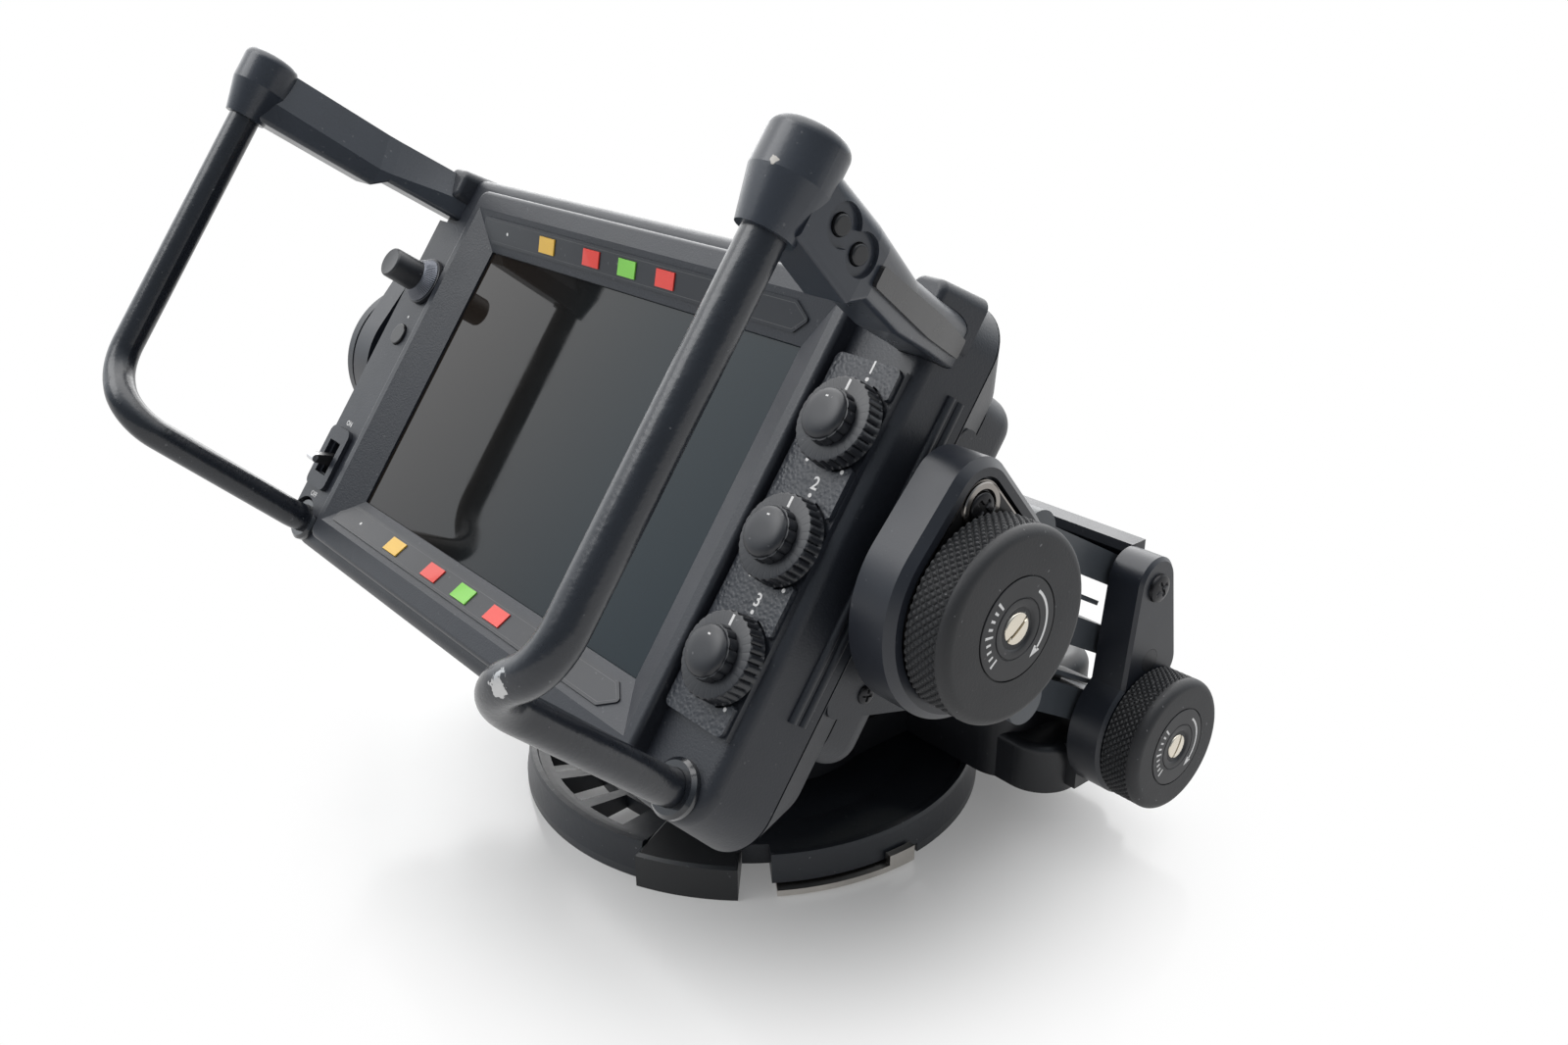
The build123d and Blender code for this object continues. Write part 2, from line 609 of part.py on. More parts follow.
def arm(sections, grow):
    faces = []
    for z, low, crest, inner_top in sections:
        outer = arm_outer(z) + grow
        inner = outer - ARM_W - 2 * grow
        face = outline([
            (inner, low - grow), (outer, low - grow), (outer, crest + grow),
            (inner + ARM_W / 3, crest + grow), (inner, inner_top + grow),
        ])
        face = fillet(face.vertices().group_by(Axis.X)[-1].sort_by(Axis.Y)[-1], ARM_ROUND)
        face = fillet(face.vertices().group_by(Axis.Y)[0], 1.5)
        faces.append(Plane.XY.offset(z) * face)
    return loft(faces, ruled=True)


def cup():
    whole = turned([
        (0, CUP_FOOT_Y), (CUP_FOOT_R, CUP_FOOT_Y), (CUP_R, CUP_SPLIT_Y), (CUP_R, CUP_TOP_Y), (0, CUP_TOP_Y),
    ])
    whole = fillet(whole.edges().sort_by(Axis.Z)[-1], CUP_ROUND)
    return Pos(RAIL_X, 0, RAIL_Z) * Rot(-90, 0, 0) * whole


def bracket(sections):
    bore = Pos(RAIL_X, 0, RAIL_Z) * Rot(90, 0, 0) * Cylinder(RAIL_R, 2 * RAIL_TOP_Y)
    return arm(sections, 0) + cup() - bore


def below(split):
    return side_plate(outline(split), FRONT_HALF_W - 30, BRACKET_OUT + 10)


def assign_recesses():
    cuts = []
    for y, z in ASSIGN_PLACES:
        cuts.append(x_rod(BRACKET_OUT - ASSIGN_DISH, BRACKET_OUT + 1, y, z, ASSIGN_DISH_R))
        cuts.append(x_rod(BRACKET_OUT - ASSIGN_SINK, BRACKET_OUT, y, z, ASSIGN_R + ASSIGN_GAP))
    return cuts


def assign_button(y, z):
    top = BRACKET_OUT - ASSIGN_DISH / 4
    button = x_rod(top - ASSIGN_H, top, y, z, ASSIGN_R)
    return fillet(button.edges().group_by(Axis.X)[-1], 0.6)


# Grip inlay: strip along the leaning outer side of the arm, from the buttons down over the shell
def grip_pad():
    face = outline([
        (55.3, -1), (60.2, -1), (64.6, -0.7 * PAD_LENGTH), (65.6, -PAD_LENGTH),
        (60.4, -PAD_LENGTH), (57.7, -0.63 * PAD_LENGTH),
    ])
    strip = side_plate(fillet(face.vertices(), 0.8), 0, PAD_T)
    return Pos(BRACKET_OUT, 0, ARM_BEND_Z) * Rot(0, ARM_LEAN, 0) * strip


def rail_collars():
    ring = z_rod(RAIL_FOOT_X, RAIL_FOOT_Y, 0, COLLAR_RISE, COLLAR_R)
    ring = chamfer(ring.edges().group_by(Axis.Z)[-1], 1.0)
    return pair(ring - z_rod(RAIL_FOOT_X, RAIL_FOOT_Y, -1, COLLAR_RISE + 1, RAIL_R + SEAT))


def menu_dial():
    base = LEFT_STRIP_RISE + 0.3
    dial = turned([
        (0, base), (DIAL_SKIRT_R, base), (DIAL_SKIRT_R, base + 1.6), (DIAL_R + 0.6, base + 5.6),
        (DIAL_R, base + 5.6), (DIAL_R, base + DIAL_H - 1), (DIAL_R - 1, base + DIAL_H), (0, base + DIAL_H),
    ])
    return dial - z_rod(0, 0, 0, LEFT_STRIP_RISE + 8.3, POT_SHAFT_R + RUN_GAP)


def menu_button():
    button = z_rod(BUTTON_X, BUTTON_Y, 1.2, LEFT_STRIP_RISE + 1.0, BUTTON_R)
    return fillet(button.edges().group_by(Axis.Z)[-1], 0.4)


def power_toggle():
    low = Circle(2.4)
    high = Pos(0, SWITCH_ARM - 1.5) * Circle(1.5)
    lever = Pos(SWITCH_Y, SWITCH_PIVOT_Z) * Rot(0, 0, SWITCH_THROW) * make_hull((low + high).edges())
    return side_plate(lever, SWITCH_X - SWITCH_W / 2, SWITCH_X + SWITCH_W / 2)


# Tilt hinge pieces, drawn round the tilt axis: b runs back, h runs up
def teardrop(grow):
    low = Circle(PLATE_R + grow)
    high = Pos(0.5, PLATE_TOP_H) * Circle(PLATE_TOP_R + grow)
    return make_hull((low + high).edges())


def at_axis(face):
    return Pos(TILT_Y, TILT_Z) * face


def yoke_plate():
    plate = side_plate(at_axis(teardrop(0)), PLATE_IN, PLATE_OUT)
    plate = chamfer(plate.edges().group_by(Axis.X)[-1], 2.2)
    plate -= side_plate(at_axis(teardrop(-4.5)), PLATE_OUT - PLATE_POCKET, PLATE_OUT + 1)
    return plate - x_rod(PLATE_IN - 1, PLATE_OUT + 1, TILT_Y, TILT_Z, AXLE_R + RUN_GAP)


def friction_plate():
    face = Circle(PLATE_R - 5.6) + Pos(0.5, PLATE_TOP_H - 0.5) * Circle(7.0)
    face = make_hull(face.edges()) - Circle(STUD_R + 0.4)
    start = PLATE_OUT - PLATE_POCKET
    top = start + FRICTION_T
    screw_head = x_rod(top, top + 0.9, TILT_Y + 0.5, TILT_Z + PLATE_TOP_H - 0.5, 3.4)
    return side_plate(at_axis(face), start, top) + screw_head


def axle(stud_end):
    journal_end = PLATE_OUT - PLATE_POCKET - SEAT
    shaft = x_rod(CHASSIS_HALF_W, journal_end, TILT_Y, TILT_Z, AXLE_R)
    shaft += x_rod(PARTING_HALF_W + FLANGE_GAP, PLATE_IN - FLANGE_GAP, TILT_Y, TILT_Z, AXLE_FLANGE_R)
    return shaft + x_rod(journal_end, stud_end, TILT_Y, TILT_Z, STUD_R)


def tilt_disc():
    disc = x_rod(PLATE_OUT + 0.1, PLATE_OUT + TILT_DISC_T, TILT_Y, TILT_Z, PLATE_R - 0.5)
    disc = fillet(disc.edges().group_by(Axis.X)[-1], 2)
    return mirrored(disc - x_rod(PLATE_OUT, PLATE_OUT + TILT_DISC_T - 2, TILT_Y, TILT_Z, STUD_R + RUN_GAP))


def lock_knob(start, thick, radius, y, z, bore_r):
    knob = x_rod(start, start + thick, y, z, radius)
    knob = fillet(knob.edges().group_by(Axis.X)[-1], 2.6)
    knob = chamfer(knob.edges().group_by(Axis.X)[0], 1.0)
    knob += x_rod(start - KNOB_HUB_T, start + 1, y, z, radius - 8)
    knob -= x_rod(start + thick - 1.0, start + thick + 1, y, z, 8.5)
    knob -= x_rod(start - KNOB_HUB_T - 1, start + thick - KNOB_WEB, y, z, bore_r)
    return knob - x_rod(start, start + thick, y, z, SCREW_R + SEAT)


def lock_screw(face, y, z):
    head = x_rod(face - 1.0, face + 0.8, y, z, 4.0)
    head += x_rod(face - KNOB_WEB + 0.1, face - 1.0, y, z, SCREW_R)
    return head - Pos(face + 0.6, y, z) * Rot(25, 0, 0) * Box(1.2, 10, 1.1)


# Lift links: bars along the line between their pivots
def along(u, n, level):
    y = FRONT_PIVOT_Y + u * math.cos(SLOPE) + n * math.sin(SLOPE)
    z = FRONT_PIVOT_Z - level * PIVOT_STEP - u * math.sin(SLOPE) + n * math.cos(SLOPE)
    return (y, z)


def bar(level, radius, u0, u1, x0, x1):
    ends = [Pos(*along(u, 0, level)) * Circle(radius) for u in (u0, u1)]
    return side_plate(make_hull((ends[0] + ends[1]).edges()), x0, x1)


def strap(level, n0, n1, u0, u1, x0, x1):
    corners = [along(u0, n0, level), along(u1, n0, level), along(u1, n1, level), along(u0, n1, level)]
    return side_plate(outline(corners), x0, x1)


def link_bores(level, front_r, rear_r):
    front = x_rod(-120, 120, *along(0, 0, level), front_r)
    return front + x_rod(-120, 120, *along(LINK_LENGTH, 0, level), rear_r)


def upper_link():
    link = bar(0, UPPER_BAR_R, 0, LINK_LENGTH, -LINK_HALF_W, LINK_HALF_W)
    pocket = strap(0, -UPPER_BAR_R - 1, UPPER_BAR_R - 3.2, 12, LINK_LENGTH - 12, -22, 22)
    link -= [Pos(x, 0, 0) * pocket for x in (-69, -23, 23, 69)]
    rib_low = -UPPER_RIB_DROP - RIB_T / 2
    rib = strap(0, rib_low, rib_low + RIB_T, 10, LINK_LENGTH - 6, BAR_IN, LINK_HALF_W)
    web = strap(0, -UPPER_RIB_DROP, 0, 10, LINK_LENGTH - 10, BAR_IN, BAR_IN + 3)
    link += pair(rib + web)
    return link - link_bores(0, SHAFT_R + RUN_GAP, SHAFT_R + RUN_GAP)


def mid_link():
    link = bar(1, MID_BAR_R, 0, LINK_LENGTH, -LINK_HALF_W, LINK_HALF_W)
    window = strap(1, -9, 9, 14, LINK_LENGTH - 14, -24, 24)
    link -= [Pos(x, 0, 0) * window for x in (-68, 68)]
    link -= pair(strap(1, -9, 9, LINK_LENGTH - 12, LINK_LENGTH + 8, SPRING_IN - 2, SPRING_OUT + 2))
    return link - link_bores(1, SHAFT_R + OPEN_PIVOT_GAP, SHAFT_R + RUN_GAP)


def lower_link():
    side = bar(2, LOWER_BAR_R, 0, LINK_LENGTH, BAR_IN, LINK_HALF_W)
    rib_low = LOWER_RIB_RISE - RIB_T / 2
    side += strap(2, rib_low, rib_low + RIB_T, 10, LINK_LENGTH - 14, BAR_IN, LINK_HALF_W)
    side += strap(2, 0, LOWER_RIB_RISE, 10, LINK_LENGTH - 18, BAR_IN, BAR_IN + 3)
    link = pair(side) + bar(2, LOWER_BAR_R, 0, 16, -BAR_IN - 1, BAR_IN + 1)
    return link - link_bores(2, SHAFT_R + OPEN_PIVOT_GAP, SHAFT_R + RUN_GAP)


def front_pivot_pins():
    reach = YOKE_ARM_IN - 2
    return Part() + [x_rod(-reach, reach, *along(0, 0, level), SHAFT_R) for level in (0, 1, 2)]


# Carrier frame: arms outside the head, cheeks beside the links, and a beam behind the head
def yoke_frame():
    b = TILT_Y
    h = TILT_Z
    arm_face = Pos(b, h) * Circle(24) + Pos(b + 46, h - 32) * Circle(8) + Pos(b + 46, h - 6) * Circle(8)
    arm = side_plate(make_hull(arm_face.edges()), YOKE_ARM_IN, PLATE_IN)
    arm -= x_rod(YOKE_ARM_IN - 1, PLATE_IN + 1, TILT_Y, TILT_Z, AXLE_FLANGE_R + HINGE_GAP)
    pivots = [along(0, 0, level) for level in (0, 2)]
    cheek_face = make_hull((Pos(*pivots[0]) * Circle(CHEEK_R) + Pos(*pivots[1]) * Circle(CHEEK_R)).edges())
    cheek = side_plate(cheek_face, CHEEK_IN, YOKE_ARM_IN)
    tie = block(CHEEK_IN, YOKE_ARM_IN, b + BEAM_NEAR, b + AXIS_AHEAD, h + BEAM_LOW, h + BEAM_HIGH)
    frame = pair(arm + cheek + tie)
    beam = block(-CHEEK_IN - 1, CHEEK_IN + 1, b + BEAM_NEAR, b + BEAM_FAR, h + BEAM_LOW, h + BEAM_HIGH)
    frame += beam
    reach = YOKE_ARM_IN - 2
    for level in (0, 1, 2):
        frame -= x_rod(-reach, reach, *along(0, 0, level), SHAFT_R + SEAT)
    return frame


# Tower plates: narrow top at the upper pivot, wider below, round lobe at the lift lock
def tower_face():
    y = REAR_PIVOT_Y
    z = REAR_PIVOT_Z
    top = Pos(y, z + 1) * Circle(9.5)
    mid = Pos(y + 7, z - 30) * Circle(8.5)
    low = Pos(y - 6, LIFT_AXIS_Z + 4) * Circle(9)
    lobe = Pos(y, LIFT_AXIS_Z) * Circle(TOWER_LOBE_R)
    return make_hull((top + mid + low).edges()) + lobe


def tower_plate():
    plate = side_plate(tower_face(), TOWER_IN, TOWER_OUT)
    plate = chamfer(plate.edges().group_by(Axis.X)[-1], 1.2)
    for level in (0, 1, 2):
        z = REAR_PIVOT_Z - level * PIVOT_STEP
        plate -= x_rod(TOWER_IN - 1, TOWER_OUT + 1, REAR_PIVOT_Y, z, SHAFT_R + SEAT)
    return plate


def tower_cross():
    y = REAR_PIVOT_Y
    z = REAR_PIVOT_Z
    top = block(-TOWER_IN, TOWER_IN, y + 2.3, y + 9.5, z + 7, z + 10.5)
    back = block(-TOWER_IN, TOWER_IN, y + 7, y + 9.5, z - 4, z + 10.5)
    return top + back


def rear_pivot_pins():
    y = REAR_PIVOT_Y
    pins = []
    for level in (0, 1):
        z = REAR_PIVOT_Z - level * PIVOT_STEP
        pin = x_rod(-TOWER_OUT, TOWER_OUT, y, z, SHAFT_R)
        if level == 0:
            pin += pair(x_rod(TOWER_OUT, TOWER_OUT + PIN_HEAD_T, y, z, PIN_HEAD_R))
        pins.append(pin)
    stud_end = TOWER_OUT + KNOB_LIFT + LIFT_KNOB_T - KNOB_WEB - 0.3
    pins.append(x_rod(HOUSING_HALF_W - 6, stud_end, y, LIFT_AXIS_Z, SHAFT_R))
    pins.append(x_rod(-TOWER_OUT - PIN_HEAD_T, -HOUSING_HALF_W + 6, y, LIFT_AXIS_Z, SHAFT_R))
    return Part() + pins


def balance_springs():
    y = REAR_PIVOT_Y
    z = REAR_PIVOT_Z - PIVOT_STEP
    coil = x_rod(SPRING_IN, SPRING_OUT, y, z, SPRING_R)
    return pair(coil - x_rod(SPRING_IN - 1, SPRING_OUT + 1, y, z, SHAFT_R + SEAT))


# Turntable: round turret, bridge and the transverse arm housing that carries the tower
def turntable():
    low = DISC_H + DISC_GAP
    housing = flat_plate(
        Pos(0, (HOUSING_NEAR + HOUSING_FAR) / 2)
        * RectangleRounded(2 * HOUSING_HALF_W, HOUSING_FAR - HOUSING_NEAR, HOUSING_CORNER),
        low, HOUSING_TOP,
    )
    housing = fillet(housing.edges().group_by(Axis.Z)[-1], 6)
    turret = z_rod(0, 0, low, 27, TURRET_R)
    turret = fillet(turret.edges().group_by(Axis.Z)[-1], 3)
    bridge = block(-TURRET_R + 2, TURRET_R - 2, 0, HOUSING_NEAR + 8, low, 27)
    whole = housing + turret + bridge
    wide = flat_plate(
        Pos(0, (FOOT_NEAR + HOUSING_FAR) / 2)
        * RectangleRounded(2 * FOOT_HALF_W, HOUSING_FAR - FOOT_NEAR, HOUSING_CORNER),
        low, FOOT_TOP,
    )
    whole += fillet(wide.edges().group_by(Axis.Z)[-1], 3)
    foot = block(HOUSING_HALF_W - 18, TOWER_IN, REAR_PIVOT_Y - 17, REAR_PIVOT_Y + 17, low + 3, FOOT_TOP)
    whole += pair(foot)
    whole += z_rod(0, 0, POCKET_H + 1, low, PAN_R)
    bore = x_rod(HOUSING_HALF_W - 6, HOUSING_HALF_W + 1, REAR_PIVOT_Y, LIFT_AXIS_Z, SHAFT_R + SEAT)
    return whole - pair(bore)


def pan_bearing():
    top = DISC_H + DISC_GAP - 0.05
    return z_rod(0, 0, DISH_H, top, WASHER_R) - z_rod(0, 0, DISH_H - 1, top + 1, PAN_R + 0.3)


# Base disc: shallow dish with a double rim, slotted on the left, shoe pocket underneath
def sector(r0, r1, a0, a1):
    turns = [math.radians(a) for a in (a0, (a0 + a1) / 2, a1)]
    points_out = [(r1 * math.cos(a), r1 * math.sin(a)) for a in turns]
    points_in = [(r0 * math.cos(a), r0 * math.sin(a)) for a in reversed(turns)]
    edges = [
        ThreePointArc(*points_out), Line(points_out[2], points_in[0]),
        ThreePointArc(*points_in), Line(points_in[2], points_out[0]),
    ]
    return make_face(edges)


def lever_pin():
    angle = math.radians(LEVER_FROM + 4)
    return (LEVER_PIN_RADIUS * math.cos(angle), LEVER_PIN_RADIUS * math.sin(angle))


def base_disc():
    disc = turned([
        (0, 0), (DISC_R, 0), (DISC_R, 3), (DISC_RIM_R + 0.5, DISC_H - 1.5), (DISC_RIM_R, DISC_H),
        (DISC_RIM_R - 2, DISC_H), (DISC_RIM_R - 2.5, DISC_H - 1), (DISC_RIM_R - 4.5, DISC_H - 1.2),
        (DISH_R, DISH_H), (0, DISH_H),
    ])
    disc -= z_rod(0, 0, -1, POCKET_H, DISC_R - 8.5)
    disc -= z_rod(0, 0, 0, DISC_H + 2, PAN_R + RUN_GAP)
    disc -= [flat_plate(sector(62, 78, a, a + 12), POCKET_H - 1, DISC_H + 2) for a in range(98, 290, 16)]
    disc -= flat_plate(sector(58, 100, BLOCK_FROM, BLOCK_TO), -1, DISC_H + 2)
    disc -= flat_plate(sector(76, 100, BLOCK_TO - 1, NOTCH_TO), -1, DISC_H + 2)
    disc -= flat_plate(sector(74, 100, NOTCH_TO - 1, LEVER_TO + 3), -1, LEVER_ROOF)
    disc -= [
        Pos(x, y, 0) * Cylinder(SHOE_HOLE_R, 30)
        for x in (-SHOE_HOLE_X / 2, SHOE_HOLE_X / 2) for y in (-SHOE_HOLE_Y / 2, SHOE_HOLE_Y / 2)
    ]
    return disc + z_rod(*lever_pin(), 0.4, LEVER_ROOF + 1, LEVER_PIN_R)


def front_block():
    whole = flat_plate(sector(58.2, BLOCK_R, BLOCK_FROM + 0.3, BLOCK_TO - 0.3), 0, DISC_H - 0.5)
    whole = chamfer(whole.edges().group_by(Axis.Z)[-1], 1.0)
    return whole


def mount_shoe():
    plate = flat_plate(RectangleRounded(SHOE_W, SHOE_L, 4), 0, POCKET_H)
    plate -= [
        Pos(x, y, 0) * Cylinder(SHOE_HOLE_R, 30)
        for x in (-SHOE_HOLE_X / 2, SHOE_HOLE_X / 2) for y in (-SHOE_HOLE_Y / 2, SHOE_HOLE_Y / 2)
    ]
    return plate


def release_lever():
    strip = flat_plate(sector(LEVER_IN_R, LEVER_R, LEVER_FROM, LEVER_TO), LEVER_LIFT, LEVER_LIFT + LEVER_T)
    strip += flat_plate(sector(DISC_R + 0.4, LEVER_R, LEVER_TO - 7, LEVER_TO), LEVER_LIFT + 1, LUG_TOP)
    return strip - z_rod(*lever_pin(), -1, 10, LEVER_PIN_R + RUN_GAP)


# Head group
save_head("front_housing", front_housing())
save_head("rear_housing", rear_housing())
save_head("hump_cover", hump_cover())
glass_half_w = SCREEN_W / 2 + GLASS_LAP - SEAT
glass_half_h = SCREEN_H / 2 + GLASS_LAP - SEAT
glass_back = -GLASS_LIP - GLASS_T
save_head("screen_glass", block(-glass_half_w, glass_half_w, -glass_half_h, glass_half_h,
                                glass_back, -GLASS_LIP))
save_head("display_panel", block(-glass_half_w, glass_half_w, -glass_half_h, glass_half_h,
                                 glass_back - PANEL_T, glass_back))
save_head("circuit_board", block(-BOARD_X - 6, BOARD_X + 6, HUMP_LOW + 6, HUMP_HIGH - 6, BOARD_BACK,
                                BOARD_BACK + BOARD_T))
save_head("label_plates", label_plates())
save_head("tally_yellow", tally([0]))
save_head("tally_red", tally([1, 3]))
save_head("tally_green", tally([2]))
save_head("knob_panel", knob_panel())
save_head("control_pots", pots())
save_head("hand_rail_right", hand_rail())
save_head("hand_rail_left", mirrored(hand_rail()))
right_bracket = bracket(RIGHT_ARM) - assign_recesses()
left_bracket = bracket(LEFT_ARM)
save_head("bracket_right_upper", right_bracket - below(RIGHT_SPLIT))
save_head("bracket_right_lower", right_bracket & below(RIGHT_SPLIT))
save_head("bracket_left_upper", mirrored(left_bracket - below(LEFT_SPLIT)))
save_head("bracket_left_lower", mirrored(left_bracket & below(LEFT_SPLIT)))
save_head("grip_pad", grip_pad())
save_head("rail_collars", rail_collars())
save_head("side_covers", side_covers())
save_head("head_screws", head_screws())
save_head("head_chassis", head_chassis())
save_head("signal_inlet", signal_inlet())
for number, (y, z) in enumerate(ASSIGN_PLACES, 1):
    save_head(f"assign_button_{number}", assign_button(y, z))
for number, y in enumerate(KNOB_YS, 1):
    save_head(f"outer_ring_{number}", Pos(KNOB_X, y, 0) * outer_ring())
    save_head(f"inner_knob_{number}", Pos(KNOB_X, y, 0) * inner_knob())
save_head("menu_dial", Pos(DIAL_X, DIAL_Y, 0) * menu_dial())
save_head("menu_button", menu_button())
save_head("power_toggle", power_toggle())

# Hinge and carrier group
tilt_knob_start = PLATE_OUT + KNOB_LIFT
tilt_knob_face = tilt_knob_start + TILT_KNOB_T
tilt_stud_end = tilt_knob_face - KNOB_WEB - 0.3
left_stud_end = PLATE_OUT + TILT_DISC_T - 2.5
save("tilt_axles", Part() + [axle(tilt_stud_end), mirrored(axle(left_stud_end))])
save("yoke_plate_right", yoke_plate())
save("yoke_plate_left", mirrored(yoke_plate()))
save("tilt_disc_left", tilt_disc())
save("friction_plate", friction_plate())
save("yoke_frame", yoke_frame())
save("front_pivot_pins", front_pivot_pins())
save("tilt_lock_knob", lock_knob(tilt_knob_start, TILT_KNOB_T, TILT_KNOB_R, TILT_Y, TILT_Z,
                                 STUD_R + RUN_GAP))
save("tilt_knob_screw", lock_screw(tilt_knob_face, TILT_Y, TILT_Z))

# Lift group
save("upper_link", upper_link())
save("mid_link", mid_link())
save("lower_link", lower_link())

# Tower and turntable group
lift_knob_start = TOWER_OUT + KNOB_LIFT
lift_knob_face = lift_knob_start + LIFT_KNOB_T
save("tower_plate_right", tower_plate())
save("tower_plate_left", mirrored(tower_plate()))
save("tower_cross_piece", tower_cross())
save("rear_pivot_pins", rear_pivot_pins())
save("balance_springs", balance_springs())
save("turntable", turntable())
save("lift_lock_knob", lock_knob(lift_knob_start, LIFT_KNOB_T, LIFT_KNOB_R, REAR_PIVOT_Y, LIFT_AXIS_Z,
                                 SHAFT_R + RUN_GAP))
save("lift_knob_screw", lock_screw(lift_knob_face, REAR_PIVOT_Y, LIFT_AXIS_Z))

# Base group
save("base_disc", base_disc())
save("pan_bearing", pan_bearing())
save("front_block", front_block())
save("mount_shoe", mount_shoe())
save("release_lever", release_lever())
print("lift pivots", FRONT_PIVOT_Y, FRONT_PIVOT_Z, "tilt axis", TILT_Y, TILT_Z)
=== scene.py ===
import json
import math

import bmesh
import bpy
import numpy as np
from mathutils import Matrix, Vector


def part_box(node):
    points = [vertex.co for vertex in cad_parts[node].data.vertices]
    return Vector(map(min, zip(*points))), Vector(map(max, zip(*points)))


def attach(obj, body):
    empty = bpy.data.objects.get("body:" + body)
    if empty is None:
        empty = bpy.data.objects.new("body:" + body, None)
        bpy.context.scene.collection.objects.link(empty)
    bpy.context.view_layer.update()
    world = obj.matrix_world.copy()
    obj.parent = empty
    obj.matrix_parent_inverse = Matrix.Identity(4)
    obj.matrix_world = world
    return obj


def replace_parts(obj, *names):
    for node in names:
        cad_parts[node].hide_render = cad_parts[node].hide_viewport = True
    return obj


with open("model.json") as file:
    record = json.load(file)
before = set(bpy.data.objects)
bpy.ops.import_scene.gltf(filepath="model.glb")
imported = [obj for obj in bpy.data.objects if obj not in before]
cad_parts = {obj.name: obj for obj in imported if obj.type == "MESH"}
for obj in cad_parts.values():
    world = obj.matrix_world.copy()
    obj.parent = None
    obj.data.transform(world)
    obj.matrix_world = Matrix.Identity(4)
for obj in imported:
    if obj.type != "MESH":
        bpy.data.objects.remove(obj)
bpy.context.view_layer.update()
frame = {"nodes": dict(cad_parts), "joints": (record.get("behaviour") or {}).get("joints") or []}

# Base: a die-cast dish that stands on the camera, with a moulded block at its front edge, a steel
# shoe below, and a bare strip of spring steel that frees it. Cast pieces are painted dark blue-grey.
MM = 0.001


class Wire:
    """A value in one material's nodes: arithmetic on it adds Math nodes, and node() adds any other."""

    def __init__(self, tree, socket=None):
        self.tree = tree
        self.socket = socket

    def node(self, kind, settings=(), inputs=(), output=0):
        made = self.tree.nodes.new(kind)
        for name, value in dict(settings).items():
            setattr(made, name, value)
        for key, value in dict(inputs).items():
            if isinstance(value, Wire):
                self.tree.links.new(value.socket, made.inputs[key])
            else:
                made.inputs[key].default_value = value
        return Wire(self.tree, made.outputs[output])

    def into(self, socket):
        self.tree.links.new(self.socket, socket)

    def maths(self, operation, *values):
        return self.node("ShaderNodeMath", {"operation": operation}, dict(enumerate(values)))

    def __add__(self, other):
        return self.maths("ADD", self, other)

    def __sub__(self, other):
        return self.maths("SUBTRACT", self, other)

    def __mul__(self, other):
        return self.maths("MULTIPLY", self, other)

    def __rsub__(self, other):
        return self.maths("SUBTRACT", other, self)

    __radd__ = __add__
    __rmul__ = __mul__

    def step(self, low, high):
        """0 below low, 1 above high, and a smooth rise between them."""
        ramp = {"interpolation_type": "SMOOTHSTEP"}
        return self.node("ShaderNodeMapRange", ramp, {0: self, 1: low, 2: high})

    def noise(self, size_mm, detail=3.0):
        """Noise whose lumps are about size_mm across, on a vector in metres."""
        inputs = {"Vector": self, "Scale": 0.6 / (size_mm * MM), "Detail": detail}
        return self.node("ShaderNodeTexNoise", {}, inputs)

    def pebbles(self, size_mm):
        """Rounded pebbles about size_mm across: 1 at the middle of a cell, falling towards its border."""
        inputs = {"Vector": self, "Scale": 1 / (size_mm * MM)}
        return 1 - self.node("ShaderNodeTexVoronoi", {"feature": "SMOOTH_F1"}, inputs)

    def near(self, point, reach_mm):
        """1 at a point in metres, falling to 0 at a distance in millimetres."""
        away = self.node("ShaderNodeVectorMath", {"operation": "DISTANCE"}, {0: self, 1: tuple(point)}, 1)
        return 1 - away * (1 / (reach_mm * MM))

    def part(self, axis):
        return self.node("ShaderNodeSeparateXYZ", {}, {0: self}, "XYZ".index(axis))

    def mix(self, low, high):
        """Colour low where this value is 0 and high where it is 1."""
        return self.node("ShaderNodeMix", {"data_type": "RGBA"}, {0: self, 6: low, 7: high}, 2)


def shade(colour, amount):
    """A colour made lighter or darker by a factor, as four numbers."""
    return (colour[0] * amount, colour[1] * amount, colour[2] * amount, 1.0)


